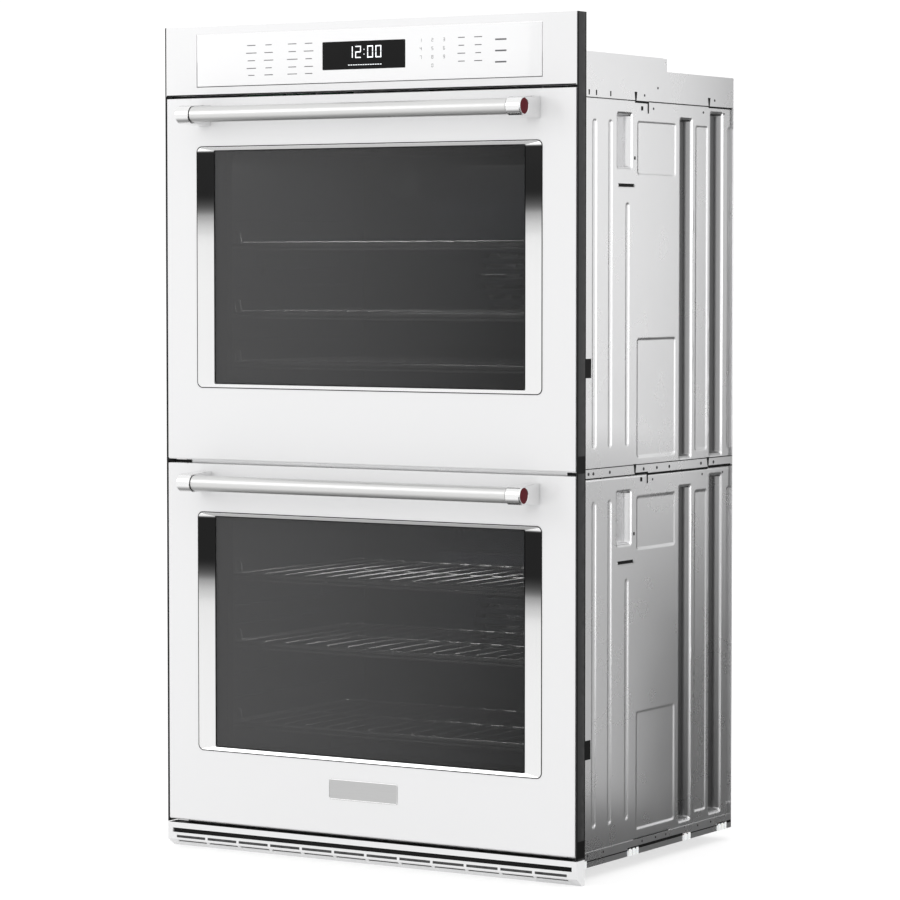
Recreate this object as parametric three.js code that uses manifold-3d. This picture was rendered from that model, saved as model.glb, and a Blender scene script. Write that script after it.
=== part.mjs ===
// A built-in double wall oven, 30 inches wide: two drop-front ovens under one control fascia.
//
// Units are millimetres. +X is to the user's right, -Y is towards the user and +Z is up.
// The origin is the centre of the base pan's underside, which rests on the cabinet's deck.
// Each mesh is one separate physical piece, and neighbours keep a small gap.

import * as THREE from 'three';
import { mergeVertices } from 'three/addons/utils/BufferGeometryUtils.js';
import Module from 'manifold-3d';

const wasm = await Module();
wasm.setup();

// ---------------------------------------------------------------- driving dimensions

const OVERALL_WIDTH = 762;
const BODY_WIDTH = 718;
const FACE_HEIGHT = 1299;
const FASCIA_HEIGHT = 109.5;
const DOOR_HEIGHT = 576.3;
const FASCIA_TO_DOOR_GAP = 3.8;
const DOOR_TO_DOOR_GAP = 6.3;

const FRONT_Y = -300;
const TRIM_DEPTH = 25;
const BODY_REAR_Y = 245;
const REAR_COVER_DEPTH = 50;

const SHEET = 2;
const GAP = 0.3;

// ---------------------------------------------------------------- places worked out from them

const OVERALL_HALF = OVERALL_WIDTH / 2;
const BODY_HALF = BODY_WIDTH / 2;
const BODY_FRONT_Y = FRONT_Y + TRIM_DEPTH + GAP;
const FASCIA_BOTTOM = FACE_HEIGHT - FASCIA_HEIGHT;
const UPPER_DOOR_BOTTOM = FASCIA_BOTTOM - FASCIA_TO_DOOR_GAP - DOOR_HEIGHT;
const LOWER_DOOR_BOTTOM = UPPER_DOOR_BOTTOM - DOOR_TO_DOOR_GAP - DOOR_HEIGHT;

// Levels of the casing's seams.
const BASE_TOP = 24;
const MID_DECK_BOTTOM = 595.5;
const MID_DECK_TOP = 610;
const HOUSING_BOTTOM = 1174.5;
const HOUSING_REAR_TOP = 1223;
const HOUSING_FRONT_TOP = 1243.8;
const HOUSING_STEP_Y = 6;
const HOUSING_EAR = { length: 13, drop: 0.4, holeY: 8, holeZ: 12.2, holeRadius: 2.6 };

// The thin outer leaf of each side trim, and its flange, whose outer part lies on the cabinet's face.
const TRIM_LEAF = 1.6;
const TRIM_OUTER = OVERALL_HALF - GAP;
const TRIM_INNER = TRIM_OUTER - TRIM_LEAF;
const TRIM_REAR_Y = FRONT_Y + TRIM_DEPTH;
const TRIM_BOTTOM = LOWER_DOOR_BOTTOM - 4.5;
const TRIM_FLANGE_INNER = 350;
const TRIM_NOTCH_DROP = 2;
const TRIM_NOTCH_HEIGHT = 24;
const FLANGE_RELIEF_OUTER = BODY_HALF + 0.6;
const FLANGE_RELIEF_DEPTH = 0.2;

// Strip under the lower door: heights of its edges, its air slot and the louvres in its sloping lip.
const VENT_TOP = 21;
const VENT_BEND = -6;
const VENT_BOTTOM = -18;
const VENT_REAR_Y = TRIM_REAR_Y - 1;
const VENT_LIP_Y = FRONT_Y + 16;
const VENT_WALL = 1.8;
const AIR_SLOT = { half: 372, bottom: 5, top: 12 };
const LOUVRE = { count: 12, pitch: 61, half: 28, frontY: FRONT_Y + 3, rearY: FRONT_Y + 9, bottom: -15, top: -3 };

// Front skins: a tray of sheet whose rim reaches back almost to the trim's flange.
const SKIN_DEPTH = 21;
const SKIN_REAR_Y = FRONT_Y + SKIN_DEPTH;
const FASCIA_SIDE_GAP = 0.4;
const DOOR_SIDE_GAP = 1.6;
const FASCIA_HALF = TRIM_INNER - FASCIA_SIDE_GAP;
const DOOR_HALF = TRIM_INNER - DOOR_SIDE_GAP;

// Touch glass, let into the fascia with a narrow shadow line round it.
const TOUCH_GLASS_HALF = 318;
const TOUCH_GLASS_BOTTOM = FASCIA_BOTTOM + 14.5;
const TOUCH_GLASS_TOP = FACE_HEIGHT - 13.7;
const TOUCH_GLASS_THICKNESS = 3;
const TOUCH_GLASS_MARGIN = 1.2;

// Door window, measured from the door's bottom edge.
const BEZEL_HALF = 318.7;
const BEZEL_BOTTOM = 116.1;
const BEZEL_TOP = DOOR_HEIGHT - 77.5;
const BEZEL_SIDE_WIDTH = 31.7;
const BEZEL_END_WIDTH = 6.5;
const BEZEL_CORNER = 9;
const BEZEL_RIM = 0.8;
const BEZEL_SLOPE_DEPTH = 3.2;
const BEZEL_THICKNESS = 3.6;
const BEZEL_FRONT_Y = FRONT_Y - 0.4;
const GLASS_THICKNESS = 4;
const OUTER_GLASS_HALF = 296;

// Door liner, the rear tray of the door, measured from the door's bottom edge.
const LINER_HALF = 345;
const LINER_BOTTOM = 24;
const LINER_TOP = 560;
const LINER_FRONT_Y = SKIN_REAR_Y + 0.5;
const LINER_REAR_Y = -253;
const LINER_WINDOW_HALF = 283;
const LINER_WINDOW_INSET = 10;
const INNER_GLASS_HALF = 290;

// Gasket between the cavity's flange and the door liner, measured from the door's bottom edge.
const GASKET_HALF = 340;
const GASKET_BOTTOM = 52;
const GASKET_TOP = 532;
const GASKET_WIDTH = 10;
const GASKET_CORNER = 24;

// Door hinge: the pivot line runs along X near the door's bottom edge.
const PIVOT_Y = FRONT_Y + 12;
const PIVOT_HEIGHT = 10.5;
const PIN_RADIUS = 3;
const ARM_BORE_RADIUS = 3.3;
const ARM_END_RADIUS = 5.5;
const ARM_X = 330;
const ARM_THICKNESS = 4;
const ARM_HALF_HEIGHT = 5;
const ARM_REAR_Y = -190;
const ARM_FOOT_FRONT_Y = -236;
const ARM_FOOT_HALF = 9;
const ARM_SLOT_HALF = 4;
const CLEVIS_TOP = 72;
const CLEVIS_CHEEK_INNER = 5;
const CLEVIS_CHEEK_OUTER = 7;

// Handle, measured from the door's bottom edge.
const HANDLE_HEIGHT = DOOR_HEIGHT - 28;
const HANDLE_Y = FRONT_Y - 49;
const HANDLE_BAR_RADIUS = 12.4;
const HANDLE_BAR_HALF = 291;
const HANDLE_END = 316;
const BRACKET_NOSE_RADIUS = 14.4;
const BRACKET_FOOT_HALF = 16.6;

// Oven cavity, measured from the door's bottom edge.
const CAVITY_HALF = 318;
const CAVITY_FLOOR = 74;
const CAVITY_CEILING = 510;
const CAVITY_FRONT_Y = -244;
const CAVITY_REAR_Y = 185;
const FLANGE_HALF = 354;
const FLANGE_BOTTOM = 23;
const FLANGE_TOP = 556;
const LEDGE_HEIGHTS = [150, 190, 230, 280, 310, 340, 390];
const LEDGE_WIDTH = 7;
const LEDGE_THICKNESS = 6;
const LEDGE_FRONT_Y = -228;
const LEDGE_REAR_Y = 130;
const CAVITY_FLANGE = 2.5;

// Door lock: its height above the door's bottom edge, and half the sizes of its tongue and slots.
const LATCH_HEIGHT = 543;
const LATCH_TONGUE = { halfX: 8, halfZ: 2.5, rearY: -200 };
const LATCH_CARRIAGE = { halfX: 25, halfZ: 8, frontY: -215, rearY: -180 };
const FLANGE_SLOT = { halfX: 12, halfZ: 5 };
const LINER_SLOT = { halfX: 14, halfZ: 6 };

// Convection fan, measured from the door's bottom edge, and the slotted cover in front of it.
const FAN_HEIGHT = 292;
const FAN_Y = 161;
const FAN_RADIUS = 68;
const FAN_BLADES = 8;
const FAN_COVER_Y = 138;
const FAN_COVER_HALF = 150;
const FAN_COVER_HALF_HEIGHT = 120;
const FAN_SLOT_PITCH = 17;
const FAN_SLOT_HALF_HEIGHT = 4;

// Broil element: the right half of its route from the rear wall, as X and Y, and its radius.
const BROIL_DROP = 18;
const BROIL_RADIUS = 3.5;
const BROIL_HALF_ROUTE = [
  [28, CAVITY_REAR_Y - GAP], [28, 150], [60, 118], [205, 118], [238, 86], [238, -160], [210, -188], [180, -188],
  [152, -160], [152, 40], [124, 68], [104, 68], [76, 40], [76, -160], [48, -188],
];

// Racks: heavy bars round the edge, thinner wires from front to back.
const RACK_HALF = 316;
const RACK_FRONT_Y = -232;
const RACK_REAR_Y = 125;
const RACK_BAR = 6;
const RACK_WIRE = 3.6;
const RACK_WIRE_PITCH = 40;
const RACK_WIRES_EACH_SIDE = 7;
const RACK_LIFT = 0.4;
const RACK_MIDDLE_BAR_Y = -57;

// Side panels and their sunk pressings. Each place is [Y from, Y to, Z from, Z to], with Z measured from
// the door's bottom edge. The last bead runs out over the panel's rear edge.
const PANEL_FACE = BODY_HALF - 0.5;
const PANEL_SHEET = 1.5;
const PANEL_REAR_Y = BODY_REAR_Y - 6;
const PRESSINGS = {
  beads: {
    depth: 1.2,
    places: [
      [-217, -202, 31, 534], [-167, -154, 31, 534], [-113, -100, 31, 408], [-76, 51, 450, 535],
      [-76, 51, 11, 198], [116, 158, 14, 534], [227, PANEL_REAR_Y + 1, 14, 534],
    ],
  },
  channels: { depth: 15, places: [[64, 104, 5, 543], [167, 209, 5, 556]] },
  liftingPocket: { depth: 14, places: [[-139, -93, 460, 545]] },
};

// Rear cover: half sizes of its wide front and its narrower back, about its middle height.
const REAR_COVER_MIDDLE = 615;
const REAR_COVER_FRONT = { halfX: 235, halfZ: 495 };
const REAR_COVER_BACK = { halfX: 215, halfZ: 475 };
const REAR_COVER_SHEET = 1.6;
const COOLING_SLOTS = { count: 9, pitch: 36, half: 12, bottom: 1150, top: 1158 };

// Electronics and cooling in the top housing.
const GLAND_PLACE = [-290, 205];
const GLAND_PROFILE = [[0, 0], [16, 0], [16, 3], [11, 3], [11, 20], [8.5, 20], [8.5, 4], [0, 4]];
const BOARD_BOTTOM = HOUSING_BOTTOM + SHEET + 8;
const BOARD_THICKNESS = 1.6;
const BOARD_EDGES = [-300, -130, -210, -90];
const BOARD_BLOCKS = [
  [-290, -250, -200, -170, 16], [-240, -222, -200, -182, 14], [-214, -196, -200, -182, 14],
  [-188, -170, -200, -182, 14], [-290, -200, -112, -98, 10], [-180, -145, -150, -110, 26],
];
const BLOWER_Y = 100;
const BLOWER_Z = 1198.5;
const BLOWER_HALF = 110;
const BLOWER_HALF_HEIGHT = 20;
const BLOWER_FRONT_Y = BLOWER_Y - 40;
const BLOWER_REAR_Y = BLOWER_Y + 24;
const BLOWER_INLET_RADIUS = 10;
const BLOWER_BLADES = 8;
const BLOWER_WHEEL_HALF = 99;

const BAYS = [
  { name: 'upper', doorBottom: UPPER_DOOR_BOTTOM, panelBottom: MID_DECK_TOP, panelTop: HOUSING_BOTTOM,
    racks: { bottom: 150, middle: 230, top: 340 } },
  { name: 'lower', doorBottom: LOWER_DOOR_BOTTOM, panelBottom: BASE_TOP, panelTop: MID_DECK_BOTTOM,
    racks: { bottom: 150, middle: 280, top: 390 } },
];
const SIDES = [
  { name: 'left', sign: -1 },
  { name: 'right', sign: 1 },
];

// ---------------------------------------------------------------- finishes

const finish = (color, roughness, metalness) => new THREE.MeshStandardMaterial({ color, roughness, metalness });

const WHITE_ENAMEL = finish(0xf2f2f2, 0.25, 0);
const WHITE_GLASS = finish(0xf0f0f0, 0.1, 0);
const CHROME = finish(0xdcdcdc, 0.12, 1);
const BRUSHED_STEEL = finish(0xd0d0d0, 0.35, 1);
const TINTED_GLASS = finish(0x3c3c3c, 0.05, 0);
const GALVANISED = finish(0xc8c8c8, 0.45, 0.9);
const DARK_TRIM = finish(0x4a4a4a, 0.5, 0.3);
const DARK_ENAMEL = finish(0x2b2d33, 0.3, 0.1);
const RACK_PLATING = finish(0xbdbdbd, 0.3, 1);
const GASKET_BRAID = finish(0x55524c, 0.9, 0);
const HEATER = finish(0x3a3733, 0.6, 0.8);
const CIRCUIT_BOARD = finish(0x2f5a3c, 0.6, 0);
const BLOWER_METAL = finish(0xb8babd, 0.4, 0.9);

// ---------------------------------------------------------------- solids

function solidOf(geometry) {
  const bare = geometry.clone();
  bare.deleteAttribute('normal');
  bare.deleteAttribute('uv');
  const merged = mergeVertices(bare);
  return new wasm.Manifold(new wasm.Mesh({
    numProp: 3,
    vertProperties: new Float32Array(merged.attributes.position.array),
    triVerts: new Uint32Array(merged.index.array),
  }));
}

const join = (solids) => solids.reduce((whole, next) => whole.add(next));
const cut = (whole, tools) => tools.reduce((rest, tool) => rest.subtract(tool), whole);

// A box between two corners, given in either order.
function box(xa, xb, ya, yb, za, zb) {
  const geometry = new THREE.BoxGeometry(Math.abs(xb - xa), Math.abs(yb - ya), Math.abs(zb - za));
  geometry.translate((xa + xb) / 2, (ya + yb) / 2, (za + zb) / 2);
  return solidOf(geometry);
}

// A box whose X and Z sizes differ between its front face and its rear face.
function taperedBox(front, rear) {
  const geometry = new THREE.BoxGeometry(1, 1, 1);
  const corners = geometry.attributes.position;
  for (let i = 0; i < corners.count; i += 1) {
    const face = corners.getY(i) < 0 ? front : rear;
    const x = face.x + Math.sign(corners.getX(i)) * face.halfX;
    const z = face.z + Math.sign(corners.getZ(i)) * face.halfZ;
    corners.setXYZ(i, x, face.y, z);
  }
  return solidOf(geometry);
}

// Round rods about a centre point, along Y and along X.
function rodY(length, radius, centre, sides) {
  const geometry = new THREE.CylinderGeometry(radius, radius, length, sides);
  geometry.translate(...centre);
  return solidOf(geometry);
}

function rodX(length, radius, centre, sides) {
  const geometry = new THREE.CylinderGeometry(radius, radius, length, sides);
  geometry.rotateZ(-Math.PI / 2);
  geometry.translate(...centre);
  return solidOf(geometry);
}

function outlineOf(points) {
  return new THREE.Shape(points.map(([a, b]) => new THREE.Vector2(a, b)));
}

function roundSection(radius, sides) {
  const points = [];
  for (let i = 0; i < sides; i += 1) {
    const angle = (i * 2 * Math.PI) / sides;
    points.push([radius * Math.cos(angle), radius * Math.sin(angle)]);
  }
  return outlineOf(points);
}

// An outline in Y and Z, drawn out along X.
function prismX(shape, x0, x1, curveSegments = 6) {
  const geometry = new THREE.ExtrudeGeometry(shape, { depth: x1 - x0, bevelEnabled: false, curveSegments });
  const turn = new THREE.Matrix4().makeBasis(
    new THREE.Vector3(0, 1, 0), new THREE.Vector3(0, 0, 1), new THREE.Vector3(1, 0, 0));
  geometry.applyMatrix4(turn);
  geometry.translate(x0, 0, 0);
  return solidOf(geometry);
}

// An outline in X and Z, drawn out along Y.
function prismY(shape, y0, y1, curveSegments = 3) {
  const geometry = new THREE.ExtrudeGeometry(shape, { depth: y1 - y0, bevelEnabled: false, curveSegments });
  geometry.applyMatrix4(new THREE.Matrix4().makeRotationX(Math.PI / 2));
  geometry.translate(0, y1, 0);
  return solidOf(geometry);
}

function roundedRectangle(halfWidth, bottom, top, radius) {
  const shape = new THREE.Shape();
  shape.moveTo(-halfWidth + radius, bottom);
  shape.lineTo(halfWidth - radius, bottom);
  shape.absarc(halfWidth - radius, bottom + radius, radius, -Math.PI / 2, 0);
  shape.lineTo(halfWidth, top - radius);
  shape.absarc(halfWidth - radius, top - radius, radius, 0, Math.PI / 2);
  shape.lineTo(-halfWidth + radius, top);
  shape.absarc(-halfWidth + radius, top - radius, radius, Math.PI / 2, Math.PI);
  shape.lineTo(-halfWidth, bottom + radius);
  shape.absarc(-halfWidth + radius, bottom + radius, radius, Math.PI, Math.PI * 1.5);
  return shape;
}

const oven = new THREE.Group();
oven.name = 'double_wall_oven';

function addPiece(name, solid, material) {
  const { vertProperties, triVerts } = solid.getMesh();
  const geometry = new THREE.BufferGeometry();
  geometry.setAttribute('position', new THREE.BufferAttribute(new Float32Array(vertProperties), 3));
  geometry.setIndex(new THREE.BufferAttribute(new Uint32Array(triVerts), 1));
  geometry.computeVertexNormals();
  const mesh = new THREE.Mesh(geometry, material);
  mesh.name = name;
  oven.add(mesh);
}

// ---------------------------------------------------------------- fascia and trims

function controlFascia() {
  const shell = box(-FASCIA_HALF, FASCIA_HALF, FRONT_Y, SKIN_REAR_Y, FASCIA_BOTTOM, FACE_HEIGHT);
  const hollow = box(-FASCIA_HALF + SHEET, FASCIA_HALF - SHEET, FRONT_Y + SHEET, SKIN_REAR_Y + 1,
    FASCIA_BOTTOM + SHEET, FACE_HEIGHT - SHEET);
  const openingHalf = TOUCH_GLASS_HALF + TOUCH_GLASS_MARGIN;
  const keypadOpening = box(-openingHalf, openingHalf, FRONT_Y - 1, FRONT_Y + SHEET + 1,
    TOUCH_GLASS_BOTTOM - TOUCH_GLASS_MARGIN, TOUCH_GLASS_TOP + TOUCH_GLASS_MARGIN);
  return cut(shell, [hollow, keypadOpening]);
}

function touchGlass() {
  const front = FRONT_Y + GAP;
  return box(-TOUCH_GLASS_HALF, TOUCH_GLASS_HALF, front, front + TOUCH_GLASS_THICKNESS,
    TOUCH_GLASS_BOTTOM, TOUCH_GLASS_TOP);
}

// Leaf and flange of sheet. The flange is notched where each door's bottom edge swings in, and is a
// little thinner in front of the casing, so that only its outer part touches the cabinet.
function sideTrim(side) {
  const across = (xa, xb, ya, yb, za, zb) => box(side.sign * xa, side.sign * xb, ya, yb, za, zb);
  const flangeFront = TRIM_REAR_Y - SHEET;
  const leaf = across(TRIM_INNER, TRIM_OUTER, FRONT_Y, TRIM_REAR_Y, TRIM_BOTTOM, FACE_HEIGHT);
  const flange = across(TRIM_FLANGE_INNER, TRIM_OUTER, flangeFront, TRIM_REAR_Y, TRIM_BOTTOM, FACE_HEIGHT);
  const relief = across(TRIM_FLANGE_INNER - 1, FLANGE_RELIEF_OUTER, TRIM_REAR_Y - FLANGE_RELIEF_DEPTH,
    TRIM_REAR_Y + 1, TRIM_BOTTOM - 1, FACE_HEIGHT + 1);
  const notches = BAYS.map((bay) => across(TRIM_FLANGE_INNER - 1, TRIM_INNER, flangeFront - 1, TRIM_REAR_Y + 1,
    bay.doorBottom - TRIM_NOTCH_DROP, bay.doorBottom + TRIM_NOTCH_HEIGHT));
  return cut(join([leaf, flange]), [relief, ...notches]);
}

// Bent strip under the lower door: a long air slot above a sloping louvred lip, with closed ends.
function ventTrim() {
  const section = outlineOf([
    [FRONT_Y, VENT_TOP], [FRONT_Y, VENT_BEND], [VENT_LIP_Y, VENT_BOTTOM], [VENT_REAR_Y, VENT_BOTTOM],
    [VENT_REAR_Y, VENT_TOP],
  ]);
  const inside = outlineOf([
    [FRONT_Y + VENT_WALL, VENT_TOP - VENT_WALL], [FRONT_Y + VENT_WALL, VENT_BEND + VENT_WALL / 2],
    [VENT_LIP_Y + 0.4 * VENT_WALL, VENT_BOTTOM + VENT_WALL], [VENT_REAR_Y + 1, VENT_BOTTOM + VENT_WALL],
    [VENT_REAR_Y + 1, VENT_TOP - VENT_WALL],
  ]);
  const endWall = OVERALL_HALF - VENT_WALL;
  const airSlot = box(-AIR_SLOT.half, AIR_SLOT.half, FRONT_Y - 1, FRONT_Y + VENT_WALL + 0.4,
    AIR_SLOT.bottom, AIR_SLOT.top);
  const louvres = [];
  for (let i = 0; i < LOUVRE.count; i += 1) {
    const x = (i - (LOUVRE.count - 1) / 2) * LOUVRE.pitch;
    louvres.push(box(x - LOUVRE.half, x + LOUVRE.half, LOUVRE.frontY, LOUVRE.rearY, LOUVRE.bottom, LOUVRE.top));
  }
  const strip = prismX(section, -OVERALL_HALF, OVERALL_HALF);
  return cut(strip, [prismX(inside, -endWall, endWall), airSlot, ...louvres]);
}

// ---------------------------------------------------------------- casing

// Side panel with sunk pressings. It stops a little short of the back panel.
function sidePanel(side, bay) {
  const level = (height) => bay.doorBottom + height;
  const across = (xa, xb, ya, yb, za, zb) => box(side.sign * xa, side.sign * xb, ya, yb, za, zb);
  const back = PANEL_FACE - PANEL_SHEET;
  const plate = across(back, PANEL_FACE, BODY_FRONT_Y, PANEL_REAR_Y, bay.panelBottom + GAP, bay.panelTop - GAP);
  const troughs = [];
  const hollows = [];
  for (const { depth, places } of Object.values(PRESSINGS)) {
    for (const [ya, yb, za, zb] of places) {
      troughs.push(across(back - depth, PANEL_FACE, ya - PANEL_SHEET, Math.min(yb + PANEL_SHEET, PANEL_REAR_Y),
        level(za) - PANEL_SHEET, level(zb) + PANEL_SHEET));
      hollows.push(across(PANEL_FACE - depth, BODY_HALF + 1, ya, yb, level(za), level(zb)));
    }
  }
  return cut(join([plate, ...troughs]), hollows);
}

// Stepped electronics housing above the upper oven, open towards the fascia, with a drilled ear behind
// its step at each side.
function topHousing() {
  const bottom = HOUSING_BOTTOM;
  const outer = outlineOf([
    [BODY_FRONT_Y, bottom], [BODY_REAR_Y, bottom], [BODY_REAR_Y, HOUSING_REAR_TOP],
    [HOUSING_STEP_Y, HOUSING_REAR_TOP], [HOUSING_STEP_Y, HOUSING_FRONT_TOP], [BODY_FRONT_Y, HOUSING_FRONT_TOP],
  ]);
  const inner = outlineOf([
    [BODY_FRONT_Y - 1, bottom + SHEET], [BODY_REAR_Y - SHEET, bottom + SHEET],
    [BODY_REAR_Y - SHEET, HOUSING_REAR_TOP - SHEET], [HOUSING_STEP_Y - SHEET, HOUSING_REAR_TOP - SHEET],
    [HOUSING_STEP_Y - SHEET, HOUSING_FRONT_TOP - SHEET], [BODY_FRONT_Y - 1, HOUSING_FRONT_TOP - SHEET],
  ]);
  const shell = prismX(outer, -BODY_HALF, BODY_HALF).subtract(prismX(inner, -BODY_HALF + SHEET, BODY_HALF - SHEET));
  return join([shell, ...SIDES.map(housingEar)]);
}

function housingEar(side) {
  const ear = box(side.sign * (BODY_HALF - SHEET), side.sign * BODY_HALF, HOUSING_STEP_Y - SHEET,
    HOUSING_STEP_Y + HOUSING_EAR.length, HOUSING_REAR_TOP - SHEET, HOUSING_FRONT_TOP - HOUSING_EAR.drop);
  const hole = rodX(4 * SHEET, HOUSING_EAR.holeRadius,
    [side.sign * BODY_HALF, HOUSING_STEP_Y + HOUSING_EAR.holeY, HOUSING_REAR_TOP + HOUSING_EAR.holeZ], 12);
  return ear.subtract(hole);
}

function midDeck() {
  const tray = box(-BODY_HALF, BODY_HALF, BODY_FRONT_Y, BODY_REAR_Y, MID_DECK_BOTTOM, MID_DECK_TOP);
  const hollow = box(-BODY_HALF + SHEET, BODY_HALF - SHEET, BODY_FRONT_Y + SHEET, BODY_REAR_Y - SHEET,
    MID_DECK_BOTTOM - 1, MID_DECK_TOP - SHEET);
  return tray.subtract(hollow);
}

function basePan() {
  const tray = box(-BODY_HALF, BODY_HALF, BODY_FRONT_Y, BODY_REAR_Y, 0, BASE_TOP);
  const hollow = box(-BODY_HALF + SHEET, BODY_HALF - SHEET, BODY_FRONT_Y + SHEET, BODY_REAR_Y - SHEET,
    SHEET, BASE_TOP + 1);
  return tray.subtract(hollow);
}

function backPanel() {
  const front = BODY_REAR_Y + GAP;
  const plate = box(-BODY_HALF, BODY_HALF, front, front + SHEET, 0, HOUSING_REAR_TOP);
  const slots = [];
  for (let i = 0; i < COOLING_SLOTS.count; i += 1) {
    const x = (i - (COOLING_SLOTS.count - 1) / 2) * COOLING_SLOTS.pitch;
    slots.push(box(x - COOLING_SLOTS.half, x + COOLING_SLOTS.half, front - 1, front + SHEET + 1,
      COOLING_SLOTS.bottom, COOLING_SLOTS.top));
  }
  return cut(plate, slots);
}

// Box-shaped cover over the fan motors and the wiring, with leaning sides.
function rearCover() {
  const front = BODY_REAR_Y + GAP + SHEET + GAP;
  const face = ({ halfX, halfZ }, y, wall) => ({
    y, x: 0, z: REAR_COVER_MIDDLE, halfX: halfX - wall, halfZ: halfZ - wall,
  });
  const outer = taperedBox(face(REAR_COVER_FRONT, front, 0), face(REAR_COVER_BACK, front + REAR_COVER_DEPTH, 0));
  const inner = taperedBox(face(REAR_COVER_FRONT, front - 1, REAR_COVER_SHEET),
    face(REAR_COVER_BACK, front + REAR_COVER_DEPTH - SHEET, 0.75 * REAR_COVER_SHEET));
  return outer.subtract(inner);
}

// Threaded outlet on the housing's roof where the supply conduit leaves.
function conduitGland() {
  const profile = GLAND_PROFILE.map(([radius, height]) => new THREE.Vector2(radius, height));
  const geometry = new THREE.LatheGeometry(profile, 16);
  geometry.rotateX(Math.PI / 2);
  geometry.translate(...GLAND_PLACE, HOUSING_REAR_TOP + GAP);
  return solidOf(geometry);
}

// ---------------------------------------------------------------- ovens

function cavity(bay) {
  const level = (height) => bay.doorBottom + height;
  const shell = box(-CAVITY_HALF - SHEET, CAVITY_HALF + SHEET, CAVITY_FRONT_Y, CAVITY_REAR_Y + SHEET,
    level(CAVITY_FLOOR - SHEET), level(CAVITY_CEILING + SHEET));
  const flange = box(-FLANGE_HALF, FLANGE_HALF, CAVITY_FRONT_Y, CAVITY_FRONT_Y + CAVITY_FLANGE,
    level(FLANGE_BOTTOM), level(FLANGE_TOP));
  const room = box(-CAVITY_HALF, CAVITY_HALF, CAVITY_FRONT_Y - 1, CAVITY_REAR_Y,
    level(CAVITY_FLOOR), level(CAVITY_CEILING));
  const shaftHole = rodY(10, 7, [0, CAVITY_REAR_Y, level(FAN_HEIGHT)], 12);
  const latchSlot = slotY(FLANGE_SLOT, CAVITY_FRONT_Y - 1, CAVITY_FRONT_Y + CAVITY_FLANGE + 1, level(LATCH_HEIGHT));
  const ledges = [];
  for (const side of SIDES) {
    for (const height of LEDGE_HEIGHTS) {
      ledges.push(box(side.sign * (CAVITY_HALF - LEDGE_WIDTH), side.sign * (CAVITY_HALF + 1),
        LEDGE_FRONT_Y, LEDGE_REAR_Y, level(height - LEDGE_THICKNESS), level(height)));
    }
  }
  return join([cut(join([shell, flange]), [room, shaftHole, latchSlot]), ...ledges]);
}

// A box about X = 0 that cuts a latch slot through sheet facing Y.
function slotY({ halfX, halfZ }, y0, y1, z) {
  return box(-halfX, halfX, y0, y1, z - halfZ, z + halfZ);
}

function gasket(bay) {
  const bottom = bay.doorBottom + GASKET_BOTTOM;
  const top = bay.doorBottom + GASKET_TOP;
  const outline = roundedRectangle(GASKET_HALF, bottom, top, GASKET_CORNER);
  outline.holes.push(roundedRectangle(GASKET_HALF - GASKET_WIDTH, bottom + GASKET_WIDTH, top - GASKET_WIDTH,
    GASKET_CORNER - GASKET_WIDTH));
  return prismY(outline, LINER_REAR_Y + GAP, CAVITY_FRONT_Y - GAP);
}

function fanCover(bay) {
  const middle = bay.doorBottom + FAN_HEIGHT;
  const rear = CAVITY_REAR_Y - GAP;
  const shell = box(-FAN_COVER_HALF, FAN_COVER_HALF, FAN_COVER_Y, rear,
    middle - FAN_COVER_HALF_HEIGHT, middle + FAN_COVER_HALF_HEIGHT);
  const hollow = box(-FAN_COVER_HALF + SHEET, FAN_COVER_HALF - SHEET, FAN_COVER_Y + SHEET, rear + 1,
    middle - FAN_COVER_HALF_HEIGHT + SHEET, middle + FAN_COVER_HALF_HEIGHT - SHEET);
  const slots = [];
  for (let i = -3; i <= 3; i += 1) {
    const offset = i * FAN_SLOT_PITCH;
    const halfLength = Math.sqrt(FAN_RADIUS ** 2 - offset ** 2);
    slots.push(box(-halfLength, halfLength, FAN_COVER_Y - 1, FAN_COVER_Y + SHEET + 1,
      middle + offset - FAN_SLOT_HALF_HEIGHT, middle + offset + FAN_SLOT_HALF_HEIGHT));
  }
  return cut(shell, [hollow, ...slots]);
}

// Convection fan wheel with its shaft, which turns about Y.
function convectionFan(bay) {
  const middle = bay.doorBottom + FAN_HEIGHT;
  const blades = [];
  for (let i = 0; i < FAN_BLADES; i += 1) {
    const geometry = new THREE.BoxGeometry(50, 20, 1.6);
    geometry.rotateX(0.35);
    geometry.translate(38, FAN_Y, 0);
    geometry.rotateY((i * 2 * Math.PI) / FAN_BLADES);
    geometry.translate(0, 0, middle);
    blades.push(solidOf(geometry));
  }
  const disc = rodY(2, FAN_RADIUS, [0, FAN_Y + 10, middle], 16);
  const hub = rodY(22, 14, [0, FAN_Y, middle], 12);
  const shaft = rodY(48, 4, [0, FAN_Y + 30, middle], 8);
  return join([disc, hub, shaft, ...blades]);
}

// Broil element: one bent rod under the ceiling, with both ends in the rear wall.
function broilElement(bay) {
  const height = bay.doorBottom + CAVITY_CEILING - BROIL_DROP;
  const mirrored = BROIL_HALF_ROUTE.map(([x, y]) => [-x, y]).reverse();
  const route = [...BROIL_HALF_ROUTE, ...mirrored].map(([x, y]) => new THREE.Vector3(x, y, height));
  const path = new THREE.CatmullRomCurve3(route, false, 'catmullrom', 0.2);
  const geometry = new THREE.ExtrudeGeometry(roundSection(BROIL_RADIUS, 6), { steps: 60, extrudePath: path });
  return solidOf(geometry);
}

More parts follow.
